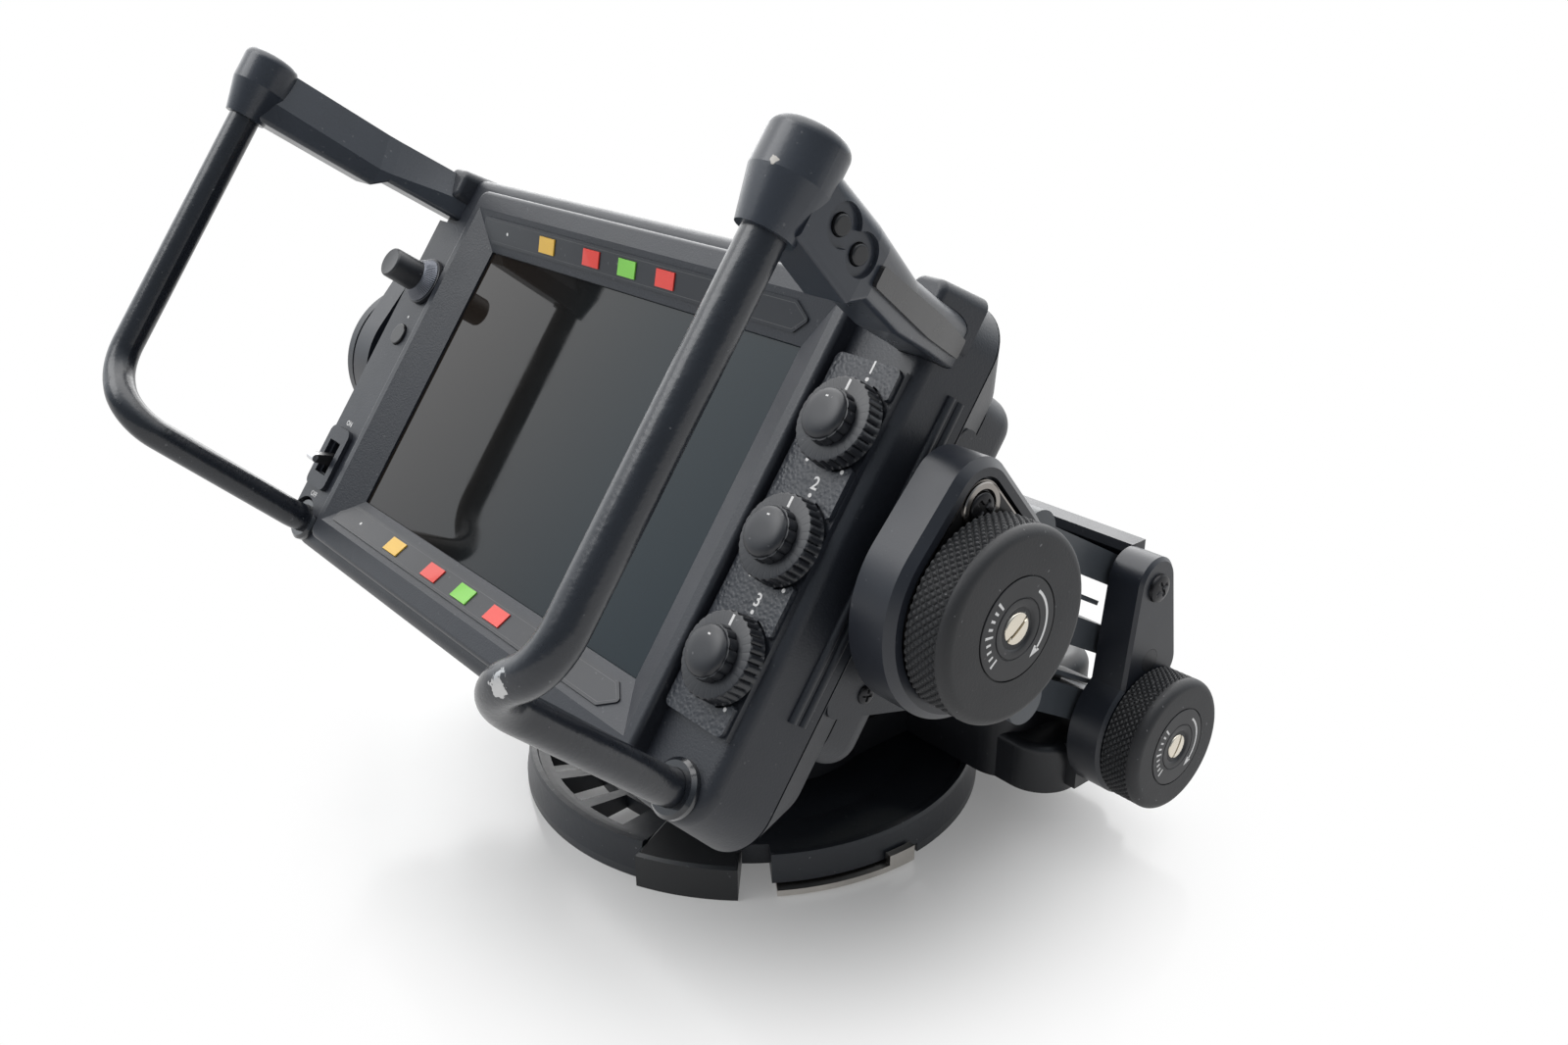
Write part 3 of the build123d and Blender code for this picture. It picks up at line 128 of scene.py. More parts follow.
class Finish:
    """A material: a colour that drifts, smudged roughness, specks of dust, and a grained bump.

    grain lists pairs of lump size and height, and leather pairs of pebble size and height, all in
    millimetres. wear is a function of the object coordinates that gives a mask, where the surface
    has the bare colour and is metal. far is a second colour, reached from left to right, for a
    reflection painted into the colour.
    """

    def __init__(self, name, colour, roughness, metallic=0.0, grain=(), leather=(), drift=0.12, dust=0.0,
                 wear=None, bare=(0.5, 0.5, 0.5), bare_metal=1.0, coat=0.0, far=None):
        self.material = bpy.data.materials.new(name)
        self.material.use_nodes = True
        tree = self.material.node_tree
        self.shader = tree.nodes["Principled BSDF"]
        place = Wire(tree).node("ShaderNodeTexCoord", {}, {}, 3)
        cloud = place.noise(24.0, 4.0)
        # With far, the tone turns from colour to far from left to right, which paints a reflection.
        if far:
            tone = place.part("X").step(-0.08, 0.08).mix(shade(colour, 1), shade(far, 1))
        else:
            tone = cloud.step(0.3, 0.7).mix(shade(colour, 1 - drift), shade(colour, 1 + drift))
        rough = cloud * 0.08 + place.noise(7.0, 5.0) * 0.10 + (roughness - 0.09)
        metal = None
        if dust:
            specks = place.noise(1.1, 1.0).step(0.74, 0.78) * dust
            tone = specks.mix(tone, (0.22, 0.22, 0.23, 1.0))
            rough = rough + specks * 0.2
        if wear:
            metal = wear(place)
            tone = metal.mix(tone, (*bare, 1.0))
            rough = rough * (1 - metal) + metal * 0.32
        tone.into(self.shader.inputs["Base Color"])
        rough.into(self.shader.inputs["Roughness"])
        if metal and bare_metal:
            metal.into(self.shader.inputs["Metallic"])
        else:
            self.shader.inputs["Metallic"].default_value = metallic
        self.shader.inputs["Coat Weight"].default_value = coat
        heights = [(place.noise(size, 2.0), height) for size, height in grain]
        heights += [(place.pebbles(size), height) for size, height in leather]
        normal = None
        for lumps, height in heights:
            inputs = {"Height": lumps, "Distance": height * MM, "Strength": 1.0}
            if normal:
                inputs["Normal"] = normal
            normal = place.node("ShaderNodeBump", {}, inputs)
        if normal:
            normal.into(self.shader.inputs["Normal"])

    def on(self, *nodes):
        """Puts the material on CAD nodes, by name."""
        for name in nodes:
            paint(frame["nodes"][name], self.material)
        return self


def paint(piece, material):
    piece.data.materials.clear()
    piece.data.materials.append(material)


Finish("dish_paint", (0.017, 0.020, 0.026), 0.36, grain=[(1.6, 0.06), (0.5, 0.03)], dust=0.3).on("base_disc")
Finish("block_moulding", (0.011, 0.012, 0.014), 0.34, grain=[(0.6, 0.03)], dust=0.2).on("front_block")
Finish("shoe_plate", (0.33, 0.33, 0.34), 0.36, metallic=1.0, grain=[(3.0, 0.02)]).on("mount_shoe")
Finish("strip_steel", (0.58, 0.55, 0.51), 0.30, metallic=1.0, grain=[(1.2, 0.03)], drift=0.25).on(
    "release_lever")
Finish("thrust_washer", (0.58, 0.56, 0.50), 0.38, grain=[(2.0, 0.02)]).on("pan_bearing")

# Turntable, tower and lift links: aluminium castings and thick plates, finely blasted and painted
# in satin blue-greys, light on the links and nearly black elsewhere. The front shafts are ground
# steel, the rear ones are blackened, and the balance springs sit round one of those.
Finish("cast_paint", (0.055, 0.063, 0.073), 0.38, grain=[(0.35, 0.02)], dust=0.15).on(
    "upper_link", "mid_link", "lower_link", "yoke_frame")
Finish("housing_paint", (0.011, 0.012, 0.015), 0.40, grain=[(0.35, 0.02)], dust=0.15).on("turntable")
plate_paint = Finish("plate_paint", (0.013, 0.0155, 0.022), 0.36, grain=[(0.30, 0.018)], dust=0.12)
plate_paint.on("tower_plate_right", "tower_plate_left", "tower_cross_piece")
Finish("ground_steel", (0.46, 0.46, 0.47), 0.30, metallic=1.0, grain=[(0.8, 0.01)]).on(
    "front_pivot_pins", "tilt_axles", "control_pots")
Finish("black_steel", (0.022, 0.023, 0.027), 0.34, metallic=0.3, grain=[(0.8, 0.01)]).on("rear_pivot_pins")
Finish("spring_steel", (0.20, 0.20, 0.21), 0.36, metallic=1.0, grain=[(1.0, 0.02)]).on("balance_springs")

# Tower screws: black machine screws with a domed head and a cross recess, one at the top of each
# tower plate, driven into the end of the upper rear shaft.
JOINTS = {joint["name"]: joint for joint in frame["joints"]}
RIGHT = np.array([1.0, 0.0, 0.0])
SKY = np.array([0.0, 0.0, 1.0])


def facing(centre, out, up):
    """Gives a function that places points drawn on a flat face: (right, up, out) in mm from its centre."""
    axes = np.array([np.cross(up, out), up, out], float)
    return lambda points: np.asarray(centre, float) + np.asarray(points, float) * MM @ axes


def skin(name, *grids, wrap=False, out=None):
    """Mesh over grids of points: each corner joins its next ones along rows and columns in a face.

    With wrap, the last column joins the first. Doubles are merged, so a row drawn to one point closes
    as a pole. Faces are turned outward, or towards out on a flat mark, and are smooth up to 35 degrees.
    """
    points, faces, start = [], [], 0
    for grid in grids:
        rows, columns = grid.shape[:2]
        i, j = np.meshgrid(np.arange(rows - 1), np.arange(columns - (not wrap)), indexing="ij")
        beside = (j + 1) % columns
        corners = [i * columns + j, (i + 1) * columns + j, (i + 1) * columns + beside, i * columns + beside]
        faces.append(start + np.stack(corners, -1).reshape(-1, 4))
        points.append(grid.reshape(-1, 3))
        start += rows * columns
    mesh = bpy.data.meshes.new(name)
    mesh.from_pydata(np.concatenate(points).tolist(), [], np.concatenate(faces).tolist())
    work = bmesh.new()
    work.from_mesh(mesh)
    bmesh.ops.remove_doubles(work, verts=work.verts, dist=1e-6)
    bmesh.ops.dissolve_degenerate(work, edges=work.edges, dist=1e-7)
    bmesh.ops.recalc_face_normals(work, faces=work.faces)
    if out is not None and work.faces[:][0].normal.dot(Vector(out)) < 0:
        bmesh.ops.reverse_faces(work, faces=work.faces)
    work.to_mesh(mesh)
    work.free()
    mesh.polygons.foreach_set("use_smooth", [True] * len(mesh.polygons))
    mesh.set_sharp_from_angle(angle=math.radians(35))
    piece = bpy.data.objects.new(name, mesh)
    bpy.context.scene.collection.objects.link(piece)
    return piece


def fit(piece, finish, body):
    """Gives a piece its material and its body."""
    paint(piece, finish.material)
    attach(piece, body)
    return piece


def driven_head(radius, dome, deep, recess, turn=0.0):
    """Screw head: a dome, 1 - r^2.6 high, over a square grid drawn onto a disc, with a drive cut in it.

    recess(x, y) gives the share of the cut's depth at a point of the unit disc, and the rim turns down.
    """
    steps = np.linspace(-1, 1, 57)
    u, v = np.meshgrid(steps, steps, indexing="ij")
    x = u * np.sqrt(1 - v * v / 2)
    y = v * np.sqrt(1 - u * u / 2)
    r = np.hypot(x, y)
    height = dome * (1 - r ** 2.6) - recess(x, y) * deep
    height = height - np.clip((r - 0.90) / 0.1, 0, 1) ** 2 * dome * 1.6
    a, b = math.cos(turn), math.sin(turn)
    return np.stack([(x * a - y * b) * radius, (x * b + y * a) * radius, height], -1)


def cross(x, y):
    """Two crossing arms with tapered walls."""
    one = np.clip((0.17 - np.abs(x)) / 0.06, 0, 1) * np.clip((0.62 - np.abs(y)) / 0.10, 0, 1)
    two = np.clip((0.17 - np.abs(y)) / 0.06, 0, 1) * np.clip((0.62 - np.abs(x)) / 0.10, 0, 1)
    return np.maximum(one, two)


TOWER_SCREW_R = 5.0
TOWER_SCREW_OUT = 1.15
screw_black = Finish("screw_black", (0.020, 0.020, 0.022), 0.28, metallic=0.7, grain=[(0.8, 0.01)])
upper_axis = JOINTS["lift"]["pos_m"]
for side, tag in ((1, "right"), (-1, "left")):
    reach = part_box("tower_plate_right")[1].x + TOWER_SCREW_OUT * MM
    centre = (side * reach, upper_axis[1], upper_axis[2])
    head = facing(centre, side * RIGHT, SKY)(driven_head(TOWER_SCREW_R, 0.7, 0.62, cross, 0.5))
    fit(skin(f"tower_screw_{tag}", head), screw_black, "turntable")

# Lock knobs: rubber moulded over a metal core, with rows of pressed diamonds, a smooth shoulder, a
# flat face, a label ring sunk flush and a slotted steel screw in a conical recess.
KNURL_DEEP = 0.75
KNURL_PITCH = 2.35
KNURL_ROWS = 4
SHOULDER_R = 3.0
RING_OUT = 13.6
RING_IN = 8.2
WELL_R = 5.4
LOCK_SCREW_R = 4.5
LOCK_PRINT_R = 10.8
TICKS = 9
PRINT_LIFT = 0.03
rubber = Finish("knob_rubber", (0.014, 0.0145, 0.0165), 0.56, grain=[(0.5, 0.06), (0.22, 0.04)],
                drift=0.18, dust=0.6)
ring_black = Finish("label_ring", (0.012, 0.0125, 0.015), 0.46, grain=[(0.4, 0.015)], dust=0.3)
screw_bright = Finish("screw_nickel", (0.66, 0.61, 0.52), 0.24, metallic=1.0, grain=[(1.2, 0.01)], drift=0.10)
print_white = Finish("print_white", (0.74, 0.74, 0.74), 0.50, drift=0.03)


def spun(profile, steps):
    """Profile of (height, radius) pairs turned about its axis: gives height, radius and angle grids."""
    line = np.asarray(profile, float)
    angle = np.linspace(0, 2 * math.pi, steps, endpoint=False)
    height = np.repeat(line[:, :1], steps, 1)
    radius = np.repeat(line[:, 1:2], steps, 1)
    return height, radius, np.broadcast_to(angle, height.shape)


def polar(height, radius, angle):
    """Points on a face from a radius and an angle that turns from up towards the right."""
    return np.stack([radius * np.sin(angle), radius * np.cos(angle), height], -1)


def diamonds(angle, rise, around):
    """Pyramid pattern of two crossing rows of V grooves: 1 at a point, 0 along the grooves.

    With t the turn in pitches and h the rise, it is 1 - max(|2(t + h mod 1) - 1|, |2(t - h mod 1) - 1|).
    """
    turn = angle * around / (2 * math.pi)
    one = np.abs(2 * np.mod(turn + rise, 1) - 1)
    two = np.abs(2 * np.mod(turn - rise, 1) - 1)
    return 1 - np.maximum(one, two)


def knob_body(radius, thick):
    """Turned knob: back chamfer, knurled band, smooth shoulder, rounded edge and flat face.

    The band's radius is the knob's, less a groove depth where the diamonds pattern falls to 0.
    """
    around = round(2 * math.pi * radius / KNURL_PITCH)
    start = 0.9
    band = KNURL_ROWS * KNURL_PITCH
    profile = [(0.0, 0.0), (0.0, radius - 2.2), (0.15, radius - 1.2), (start - 0.1, radius - 0.5)]
    profile += [(height, radius) for height in np.linspace(start, start + band, KNURL_ROWS * 10 + 1)]
    profile += [(start + band + 0.3, radius - 0.3), (start + band + 0.6, radius)]
    top, side = thick - SHOULDER_R, radius - SHOULDER_R
    bend = np.linspace(0, math.pi / 2, 11)
    profile += [(top + SHOULDER_R * math.sin(a), side + SHOULDER_R * math.cos(a)) for a in bend]
    profile += [(thick - 0.12, RING_OUT + 2.5), (thick - 0.12, RING_OUT + 0.45)]
    profile += [(thick - 0.6, RING_OUT + 0.35), (thick - 0.6, 0.0)]
    height, r, angle = spun(profile, around * 10)
    inside = (height >= start) & (height <= start + band)
    points = np.clip(diamonds(angle, (height - start) / KNURL_PITCH, around) * 1.5, 0, 1)
    return polar(height, r - np.where(inside, KNURL_DEEP * (1 - points), 0.0), angle)


def label_ring(face):
    """Flat ring with rounded edges and a conical well inside it, for the print and the screw."""
    profile = [(face - 0.6, RING_OUT), (face - 0.12, RING_OUT), (face, RING_OUT - 0.15)]
    profile += [(face, RING_IN + 0.2), (face - 0.3, RING_IN), (face - 0.3, RING_IN - 0.2)]
    profile += [(face - 0.02, RING_IN - 0.35), (face - 0.02, WELL_R + 0.9), (face - 0.25, WELL_R + 0.4)]
    profile += [(face - 2.0, WELL_R - 0.8), (face - 2.0, 0.0)]
    return polar(*spun(profile, 96))


def slot(x, y):
    """One straight cut right across the head."""
    return np.clip((0.10 - np.abs(y)) / 0.03, 0, 1)


def arc_mark(height, radius, start, end, wide):
    """Flat printed arc: a strip of the given width at a radius, from the start angle to the end one."""
    angle = np.linspace(start, end, 24)
    edges = (radius - wide / 2, radius + wide / 2)
    return np.stack([polar(np.full(24, height), np.full(24, edge), angle) for edge in edges])


def lock_knob(tag, joint, turn):
    """Dresses a lock knob: its place is its joint's axis, at the near end of its CAD node."""
    low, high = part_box(f"{tag}_lock_knob")
    axis = JOINTS[joint]["pos_m"]
    place = facing((low.x, axis[1], axis[2]), RIGHT, SKY)
    thick, radius = (high.x - low.x) / MM, (high.z - low.z) / (2 * MM)
    body = f"{tag}_knob"
    grip = fit(skin(f"{tag}_rubber", place(knob_body(radius, thick)), wrap=True), rubber, body)
    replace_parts(grip, f"{tag}_lock_knob")
    fit(skin(f"{tag}_label_ring", place(label_ring(thick)), wrap=True), ring_black, body)
    head = driven_head(LOCK_SCREW_R, 0.5, 0.95, slot, turn) + [0.0, 0.0, thick - 0.35]
    screw = fit(skin(f"{tag}_screw_head", place(head)), screw_bright, body)
    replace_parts(screw, f"{tag}_knob_screw")
    printed = np.full((2, 2), thick + PRINT_LIFT)
    marks = [arc_mark(thick + PRINT_LIFT, LOCK_PRINT_R, math.radians(40), math.radians(136), 0.75)]
    tip, barb = math.radians(152), math.radians(134)
    arrow = LOCK_PRINT_R + np.array([[-1.4, 1.4], [0.0, 0.0]])
    marks.append(polar(printed, arrow, np.array([[barb, barb], [tip, tip]])))
    half = 0.34 / LOCK_PRINT_R
    for index in range(TICKS):
        angle = math.radians(232 + index * 11.0)
        reach = 1.4 if index % 4 == 0 else 0.8
        tick = LOCK_PRINT_R + np.array([[-reach, reach], [-reach, reach]])
        marks.append(polar(printed, tick, np.array([[angle - half] * 2, [angle + half] * 2])))
    fit(skin(f"{tag}_print", *[place(mark) for mark in marks], out=RIGHT), print_white, body)


lock_knob("tilt", "tilt_lock", math.radians(35))
lock_knob("lift", "lift_lock", math.radians(62))

# Hinge plates and friction plate: milled aluminium plates, bead-blasted and painted, and a blackened
# washer plate with a polished edge under the tilt knob, held by a black screw in a raised steel ring.
plate_paint.on("yoke_plate_right", "yoke_plate_left")
Finish("disc_paint", (0.022, 0.025, 0.031), 0.42, grain=[(0.4, 0.03)]).on("tilt_disc_left")
friction_steel = Finish("friction_steel", (0.30, 0.28, 0.26), 0.20, metallic=1.0, grain=[(1.0, 0.01)])
Finish("friction_black", (0.020, 0.020, 0.021), 0.30, metallic=0.5, grain=[(0.8, 0.01)]).on("friction_plate")
EYE_R = 7.0
EDGE_STEPS = 360
EDGE_WIDE = 0.45
EDGE_LIFT = 0.06
low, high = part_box("friction_plate")
tilt_axis = np.array(JOINTS["tilt"]["pos_m"])
eye = facing((high.x - 0.9 * MM, tilt_axis[1] + 0.5 * MM, high.z - EYE_R * MM), RIGHT, SKY)
collar = [(0.0, 6.7), (0.55, 6.6), (0.8, 6.3), (0.8, 4.9), (0.5, 4.6), (0.0, 4.5)]
ring = skin("friction_ring", eye(polar(*spun(collar, 64))), wrap=True)
fit(ring, friction_steel, "carrier")
head = driven_head(4.2, 0.55, 0.6, cross, 0.7) + [0.0, 0.0, 0.9]
fit(skin("friction_screw", eye(head)), screw_black, "carrier")


def plate_edge(lobe_r, drop):
    """Rim of the plate, round an eye at the origin and a lobe that lies drop below it.

    In each direction d the farther circle gives the point: the lobe where lobe_r - drop * d.up > EYE_R.
    """
    turn = np.linspace(0, 2 * math.pi, EDGE_STEPS, endpoint=False)
    way = np.stack([np.sin(turn), np.cos(turn)], -1)
    on_lobe = (lobe_r - drop * way[:, 1] > EYE_R)[:, None]
    edge = np.where(on_lobe, way * lobe_r - [0.0, drop], way * EYE_R)
    steps = ((0.0, 0.0), (0.0, EDGE_LIFT), (EDGE_WIDE, EDGE_LIFT))
    return np.stack([np.c_[edge - way * inset, np.full(EDGE_STEPS, lift)] for inset, lift in steps])


rim = plate_edge((tilt_axis[2] - low.z) / MM, (high.z - tilt_axis[2]) / MM - EYE_R)
fit(skin("friction_edge", eye(rim), wrap=True, out=RIGHT), friction_steel, "carrier")

# Head shells: front and rear mouldings with a fine even grain, and a deeper cover over the circuit
# board. Screws with cross recesses hold the side covers and the deep cover.
OUT = -np.array(JOINTS["menu_press"]["axis"])
UP = np.cross(OUT, RIGHT)
AXIS_ON_HEAD = np.array([0.0, 6.1, -31.7])
SIDE_SCREWS = [(-26.0, -34.5), (38.0, -34.5)]
BACK_SCREWS = [(109.6, -39.0), (109.6, 52.0), (-109.6, -39.0), (-109.6, 52.0)]
HUMP_BACK = -55.6


def on_head(points):
    """World place of points on the head, drawn in mm: x right, y up the screen, z out of it."""
    return tilt_axis + (np.asarray(points, float) - AXIS_ON_HEAD) * MM @ np.array([RIGHT, UP, OUT])


Finish("shell_plastic", (0.0125, 0.015, 0.021), 0.43, grain=[(0.25, 0.02)], leather=[(0.6, 0.04)],
       dust=0.15).on("front_housing", "rear_housing", "hump_cover", "side_covers")
Finish("chassis_sheet", (0.45, 0.45, 0.46), 0.34, metallic=1.0).on("head_chassis")
Finish("board_green", (0.012, 0.10, 0.045), 0.40).on("circuit_board")
Finish("inlet_alloy", (0.30, 0.30, 0.31), 0.34, metallic=1.0, grain=[(0.7, 0.01)]).on("signal_inlet")
cover_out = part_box("side_covers")[1].x / MM + 0.45
side_head = driven_head(2.9, 0.55, 0.5, cross, 0.35)
back_head = driven_head(2.7, 0.5, 0.45, cross, 0.6)
heads = [facing(on_head((side * cover_out, y, z)), side * RIGHT, UP)(side_head)
         for side in (1, -1) for y, z in SIDE_SCREWS]
heads += [facing(on_head((x, y, HUMP_BACK + 0.2)), -OUT, UP)(back_head) for x, y in BACK_SCREWS]
screws = fit(skin("cover_screws", *heads), screw_black, "head")
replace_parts(screws, "head_screws")

# Screen: a bonded sheet of hard glass over the display. Switched off, its polariser is dark, and a
# painted reflection runs from brown at the left to blue-grey at the right, under a mirror-smooth surface.
# The colour and far paint the reflection: brown at the left, blue-grey at the right.
glass = Finish("screen_glass", (0.014, 0.011, 0.009), 0.04, far=(0.004, 0.013, 0.019))
glass.shader.inputs["Specular IOR Level"].default_value = 0.28
glass.on("screen_glass")
Finish("display_black", (0.006, 0.006, 0.007), 0.30).on("display_panel")

# Label plates and tally windows: thin printed plates glued on the surround's slopes, each with a fine
# outline and one dot, and clear tinted windows that stand a little proud.
SCREEN_HALF_H = 50.0
SLOPE = math.atan2(6.0, 13.0)
LABEL_FACE = 0.53
LABEL_OUTLINE = [(-83.9, 4.0), (79.9, 4.0), (84.9, 7.56), (79.9, 11.1), (-89.4, 11.1), (-89.4, 8.4)]
LABEL_DOT = (-74.0, 7.6)
Finish("label_plate", (0.011, 0.013, 0.0175), 0.34, grain=[(0.4, 0.008)], dust=0.2).on("label_plates")
outline_grey = Finish("outline_grey", (0.060, 0.062, 0.066), 0.5)
TALLY = {"yellow": (0.70, 0.42, 0.035), "red": (0.72, 0.045, 0.03), "green": (0.19, 0.56, 0.06)}
for name, tint in TALLY.items():
    Finish(f"tally_tint_{name}", tint, 0.30, drift=0.05, coat=0.3).on(f"tally_{name}")


def closed_line(points, wide):
    """Strip along a closed outline: corners move by half its width along (n1 + n2) / (1 + n1.n2)."""
    corner = np.asarray(points, float)
    ahead = np.roll(corner, -1, 0) - corner
    ahead /= np.linalg.norm(ahead, axis=1)[:, None]
    normal = np.stack([-ahead[:, 1], ahead[:, 0]], -1)
    before = np.roll(normal, 1, 0)
    mitre = (normal + before) / (1 + np.sum(normal * before, 1))[:, None]
    flat = np.stack([corner - mitre * wide / 2, corner + mitre * wide / 2])
    return np.concatenate([flat, np.full(flat.shape[:2] + (1,), LABEL_FACE)], -1)


def disc(x, y, height, radius):
    """Flat disc drawn as a ring joined to its middle."""
    angle = np.linspace(0, 2 * math.pi, 20, endpoint=False)
    ring = polar(np.full(20, height), np.full(20, radius), angle) + [x, y, 0.0]
    return np.stack([np.broadcast_to([x, y, height], ring.shape), ring])


for tag, side in (("upper", 1), ("lower", -1)):
    along = side * UP * math.cos(SLOPE) + OUT * math.sin(SLOPE)
    normal = OUT * math.cos(SLOPE) - side * UP * math.sin(SLOPE)
    slope_axes = np.array([RIGHT, along, normal])
    origin = on_head((0.0, side * SCREEN_HALF_H, 0.0))
    line = origin + closed_line(LABEL_OUTLINE, 0.22) * MM @ slope_axes
    fit(skin(f"label_outline_{tag}", line, wrap=True, out=normal), outline_grey, "head")
    spot = origin + disc(*LABEL_DOT, LABEL_FACE, 0.55) * MM @ slope_axes
    fit(skin(f"label_dot_{tag}", spot, wrap=True, out=normal), print_white, "head")

# Control panel: a coarse-grained plate with three pairs of knobs on common centres. Each outer ring
# has a toothed grip and a white line, and each inner knob a fluted skirt under a smooth domed cap.
KNOB_X = 114.9
KNOB_YS = (33.05, 0.3, -32.45)
RING_BASE = 3.3
RING_TOP = 8.2
SKIRT_TOP = 11.3
CAP_TOP = 13.4
CAP_R = 6.85
RING_TEETH = 30
SKIRT_FLUTES = 14
PANEL_PRINT = 3.03
NUMERAL_SIZE = 5.0
NUMERAL_RISE = 16.4
STROKE_MORE = 0.07
Finish("panel_plastic", (0.017, 0.020, 0.027), 0.42, grain=[(0.35, 0.03)], leather=[(1.0, 0.20)]).on(
    "knob_panel")
knob_plastic = Finish("knob_plastic", (0.012, 0.0135, 0.0175), 0.40, grain=[(0.4, 0.012)], drift=0.10,
                      dust=0.35)


def fluted(profile, flutes, deep, low, high, sharp):
    """Turned grip with rounded teeth, from height low to high.

    The radius drops by deep * (1 - |cos(flutes * angle / 2)|^sharp), which fades out at both ends.
    """
    height, r, angle = spun(profile, flutes * 12)
    wave = np.abs(np.cos(angle * flutes / 2)) ** sharp
    fade = np.clip((height - low) / 0.25, 0, 1) * np.clip((high - height) / 0.35, 0, 1)
    return polar(height, r - deep * (1 - wave) * fade, angle)


def pointer(high, low, near, far, wide):
    """White line let into a knob: a strip that points up, from radius near at height high to far at low."""
    return np.array([[[-wide / 2, near, high], [-wide / 2, far, low]],
                     [[wide / 2, near, high], [wide / 2, far, low]]])


def domed(edge):
    """Profile of the cap: heights edge + (CAP_TOP - edge) * sin(a) and radii CAP_R * cos(a)^0.62."""
    rise = CAP_TOP - edge
    return [(edge + rise * math.sin(a), CAP_R * math.cos(a) ** 0.62) for a in np.linspace(0, 1.56, 16)]


ring_side = [(RING_BASE + h, 12.0 - 0.06 * h) for h in np.linspace(0, RING_TOP - RING_BASE - 0.4, 9)]
ring_profile = [(RING_BASE, 4.6)] + ring_side + [(RING_TOP - 0.15, 11.5), (RING_TOP, 11.1), (RING_TOP, 4.6)]
skirt_side = [(RING_TOP + 0.3 + h, 7.6 - 0.08 * h) for h in np.linspace(0, SKIRT_TOP - RING_TOP - 0.3, 8)]
cap_profile = [(RING_TOP + 0.3, 3.05)] + skirt_side + [(SKIRT_TOP + 0.05, 6.95)]
cap_profile += domed(SKIRT_TOP + 0.25) + [(CAP_TOP, 0.0)]
teeth = fluted(ring_profile, RING_TEETH, 0.85, RING_BASE, RING_TOP - 0.05, 0.6)
flutes = fluted(cap_profile, SKIRT_FLUTES, 0.6, RING_TOP, SKIRT_TOP + 0.2, 0.45)
ring_line = pointer(RING_TOP + PRINT_LIFT, RING_TOP + PRINT_LIFT, 7.9, 10.9, 0.85)
cap_line = pointer(CAP_TOP - 0.13, CAP_TOP - 0.38, 3.9, 5.0, 0.9)
for number, y in enumerate(KNOB_YS, 1):
    place = facing(on_head((KNOB_X, y, 0.0)), OUT, UP)
    for body, grip, line in ((f"outer_ring_{number}", teeth, ring_line),
                             (f"inner_knob_{number}", flutes, cap_line)):
        turned = fit(skin(f"{body}_grip", place(grip), wrap=True), knob_plastic, body)
        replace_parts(turned, body)
        fit(skin(f"{body}_line", place(line), out=OUT), print_white, body)
    spots = [place(disc(x, up, PANEL_PRINT, 0.6)) for x, up in ((0.0, 13.2), (-6.5, -11.2), (6.5, -11.2))]
    fit(skin(f"panel_dots_{number}", *spots, wrap=True, out=OUT), print_white, "head")


def lettering(name, words, size, centre):
    """Flat printed characters, a little bolder than their font, laid on the head at a centre in mm."""
    curve = bpy.data.curves.new(name, "FONT")
    curve.body = words
    curve.size = size
    curve.align_x = "CENTER"
    curve.align_y = "CENTER"
    curve.resolution_u = 3
    curve.offset = STROKE_MORE
    temporary = bpy.data.objects.new(name, curve)
    mesh = bpy.data.meshes.new_from_object(temporary)
    bpy.data.objects.remove(temporary)
    flat = np.zeros(len(mesh.vertices) * 3)
    mesh.vertices.foreach_get("co", flat)
    points = on_head(flat.reshape(-1, 3) + np.asarray(centre, float))
    mesh.vertices.foreach_set("co", points.ravel())
    mesh.update()
    piece = bpy.data.objects.new(name, mesh)
    bpy.context.scene.collection.objects.link(piece)
    return fit(piece, print_white, "head")


for number, y in enumerate(KNOB_YS, 1):
    centre = (KNOB_X, y + NUMERAL_RISE, PANEL_PRINT)
    lettering(f"panel_numeral_{number}", str(number), NUMERAL_SIZE, centre)

# Hand rails: bent steel tube with a thick satin powder coat, chipped to the metal at the right one's
# lower bend and in one small spot. Turned collars close the feet.
WORN_BEND = on_head((134.5, -52.5, 79.5))
WORN_SPOT = on_head((139.0, 52.0, 80.5))


def rail_wear(place):
    """Bare where a broken noise is higher than a limit that rises away from the two worn places."""
    bend = (place.noise(1.3, 6.0) * 0.9 + place.near(WORN_BEND, 12.0)).step(1.25, 1.29)
    spot = (place.noise(1.2, 4.0) * 0.8 + place.near(WORN_SPOT, 3.0)).step(0.98, 1.05)
    return bend.maths("MAXIMUM", bend, spot)


Finish("rail_paint", (0.012, 0.0145, 0.020), 0.27, grain=[(2.2, 0.10), (0.7, 0.05)], coat=0.10, dust=0.25,
       wear=rail_wear, bare=(0.50, 0.50, 0.50)).on("hand_rail_right", "hand_rail_left")
Finish("collar_gloss", (0.012, 0.014, 0.018), 0.20, grain=[(1.0, 0.01)], coat=0.4).on("rail_collars")

# Brackets: each is moulded in an upper and a lower half, with a smooth satin finish. The right one
# carries a thin inlay strip and two small push buttons in shallow dishes.
CHIP = on_head((145.0, 64.5, 84.0))


def chip(place):
    """One small scuff on the cup, broken by noise."""
    return (place.noise(1.0, 3.0) * 0.8 + place.near(CHIP, 2.6)).step(0.98, 1.04)


Finish("bracket_plastic", (0.026, 0.031, 0.041), 0.28, grain=[(0.5, 0.02)], dust=0.25, wear=chip,
       bare=(0.45, 0.43, 0.40), bare_metal=0.0).on(
    "bracket_right_upper", "bracket_right_lower", "bracket_left_upper", "bracket_left_lower")
Finish("grip_inlay", (0.009, 0.009, 0.010), 0.26, grain=[(0.9, 0.01)]).on("grip_pad")
Finish("button_plastic", (0.010, 0.0105, 0.012), 0.30, grain=[(0.8, 0.01)]).on(
    "assign_button_1", "assign_button_2", "menu_button")

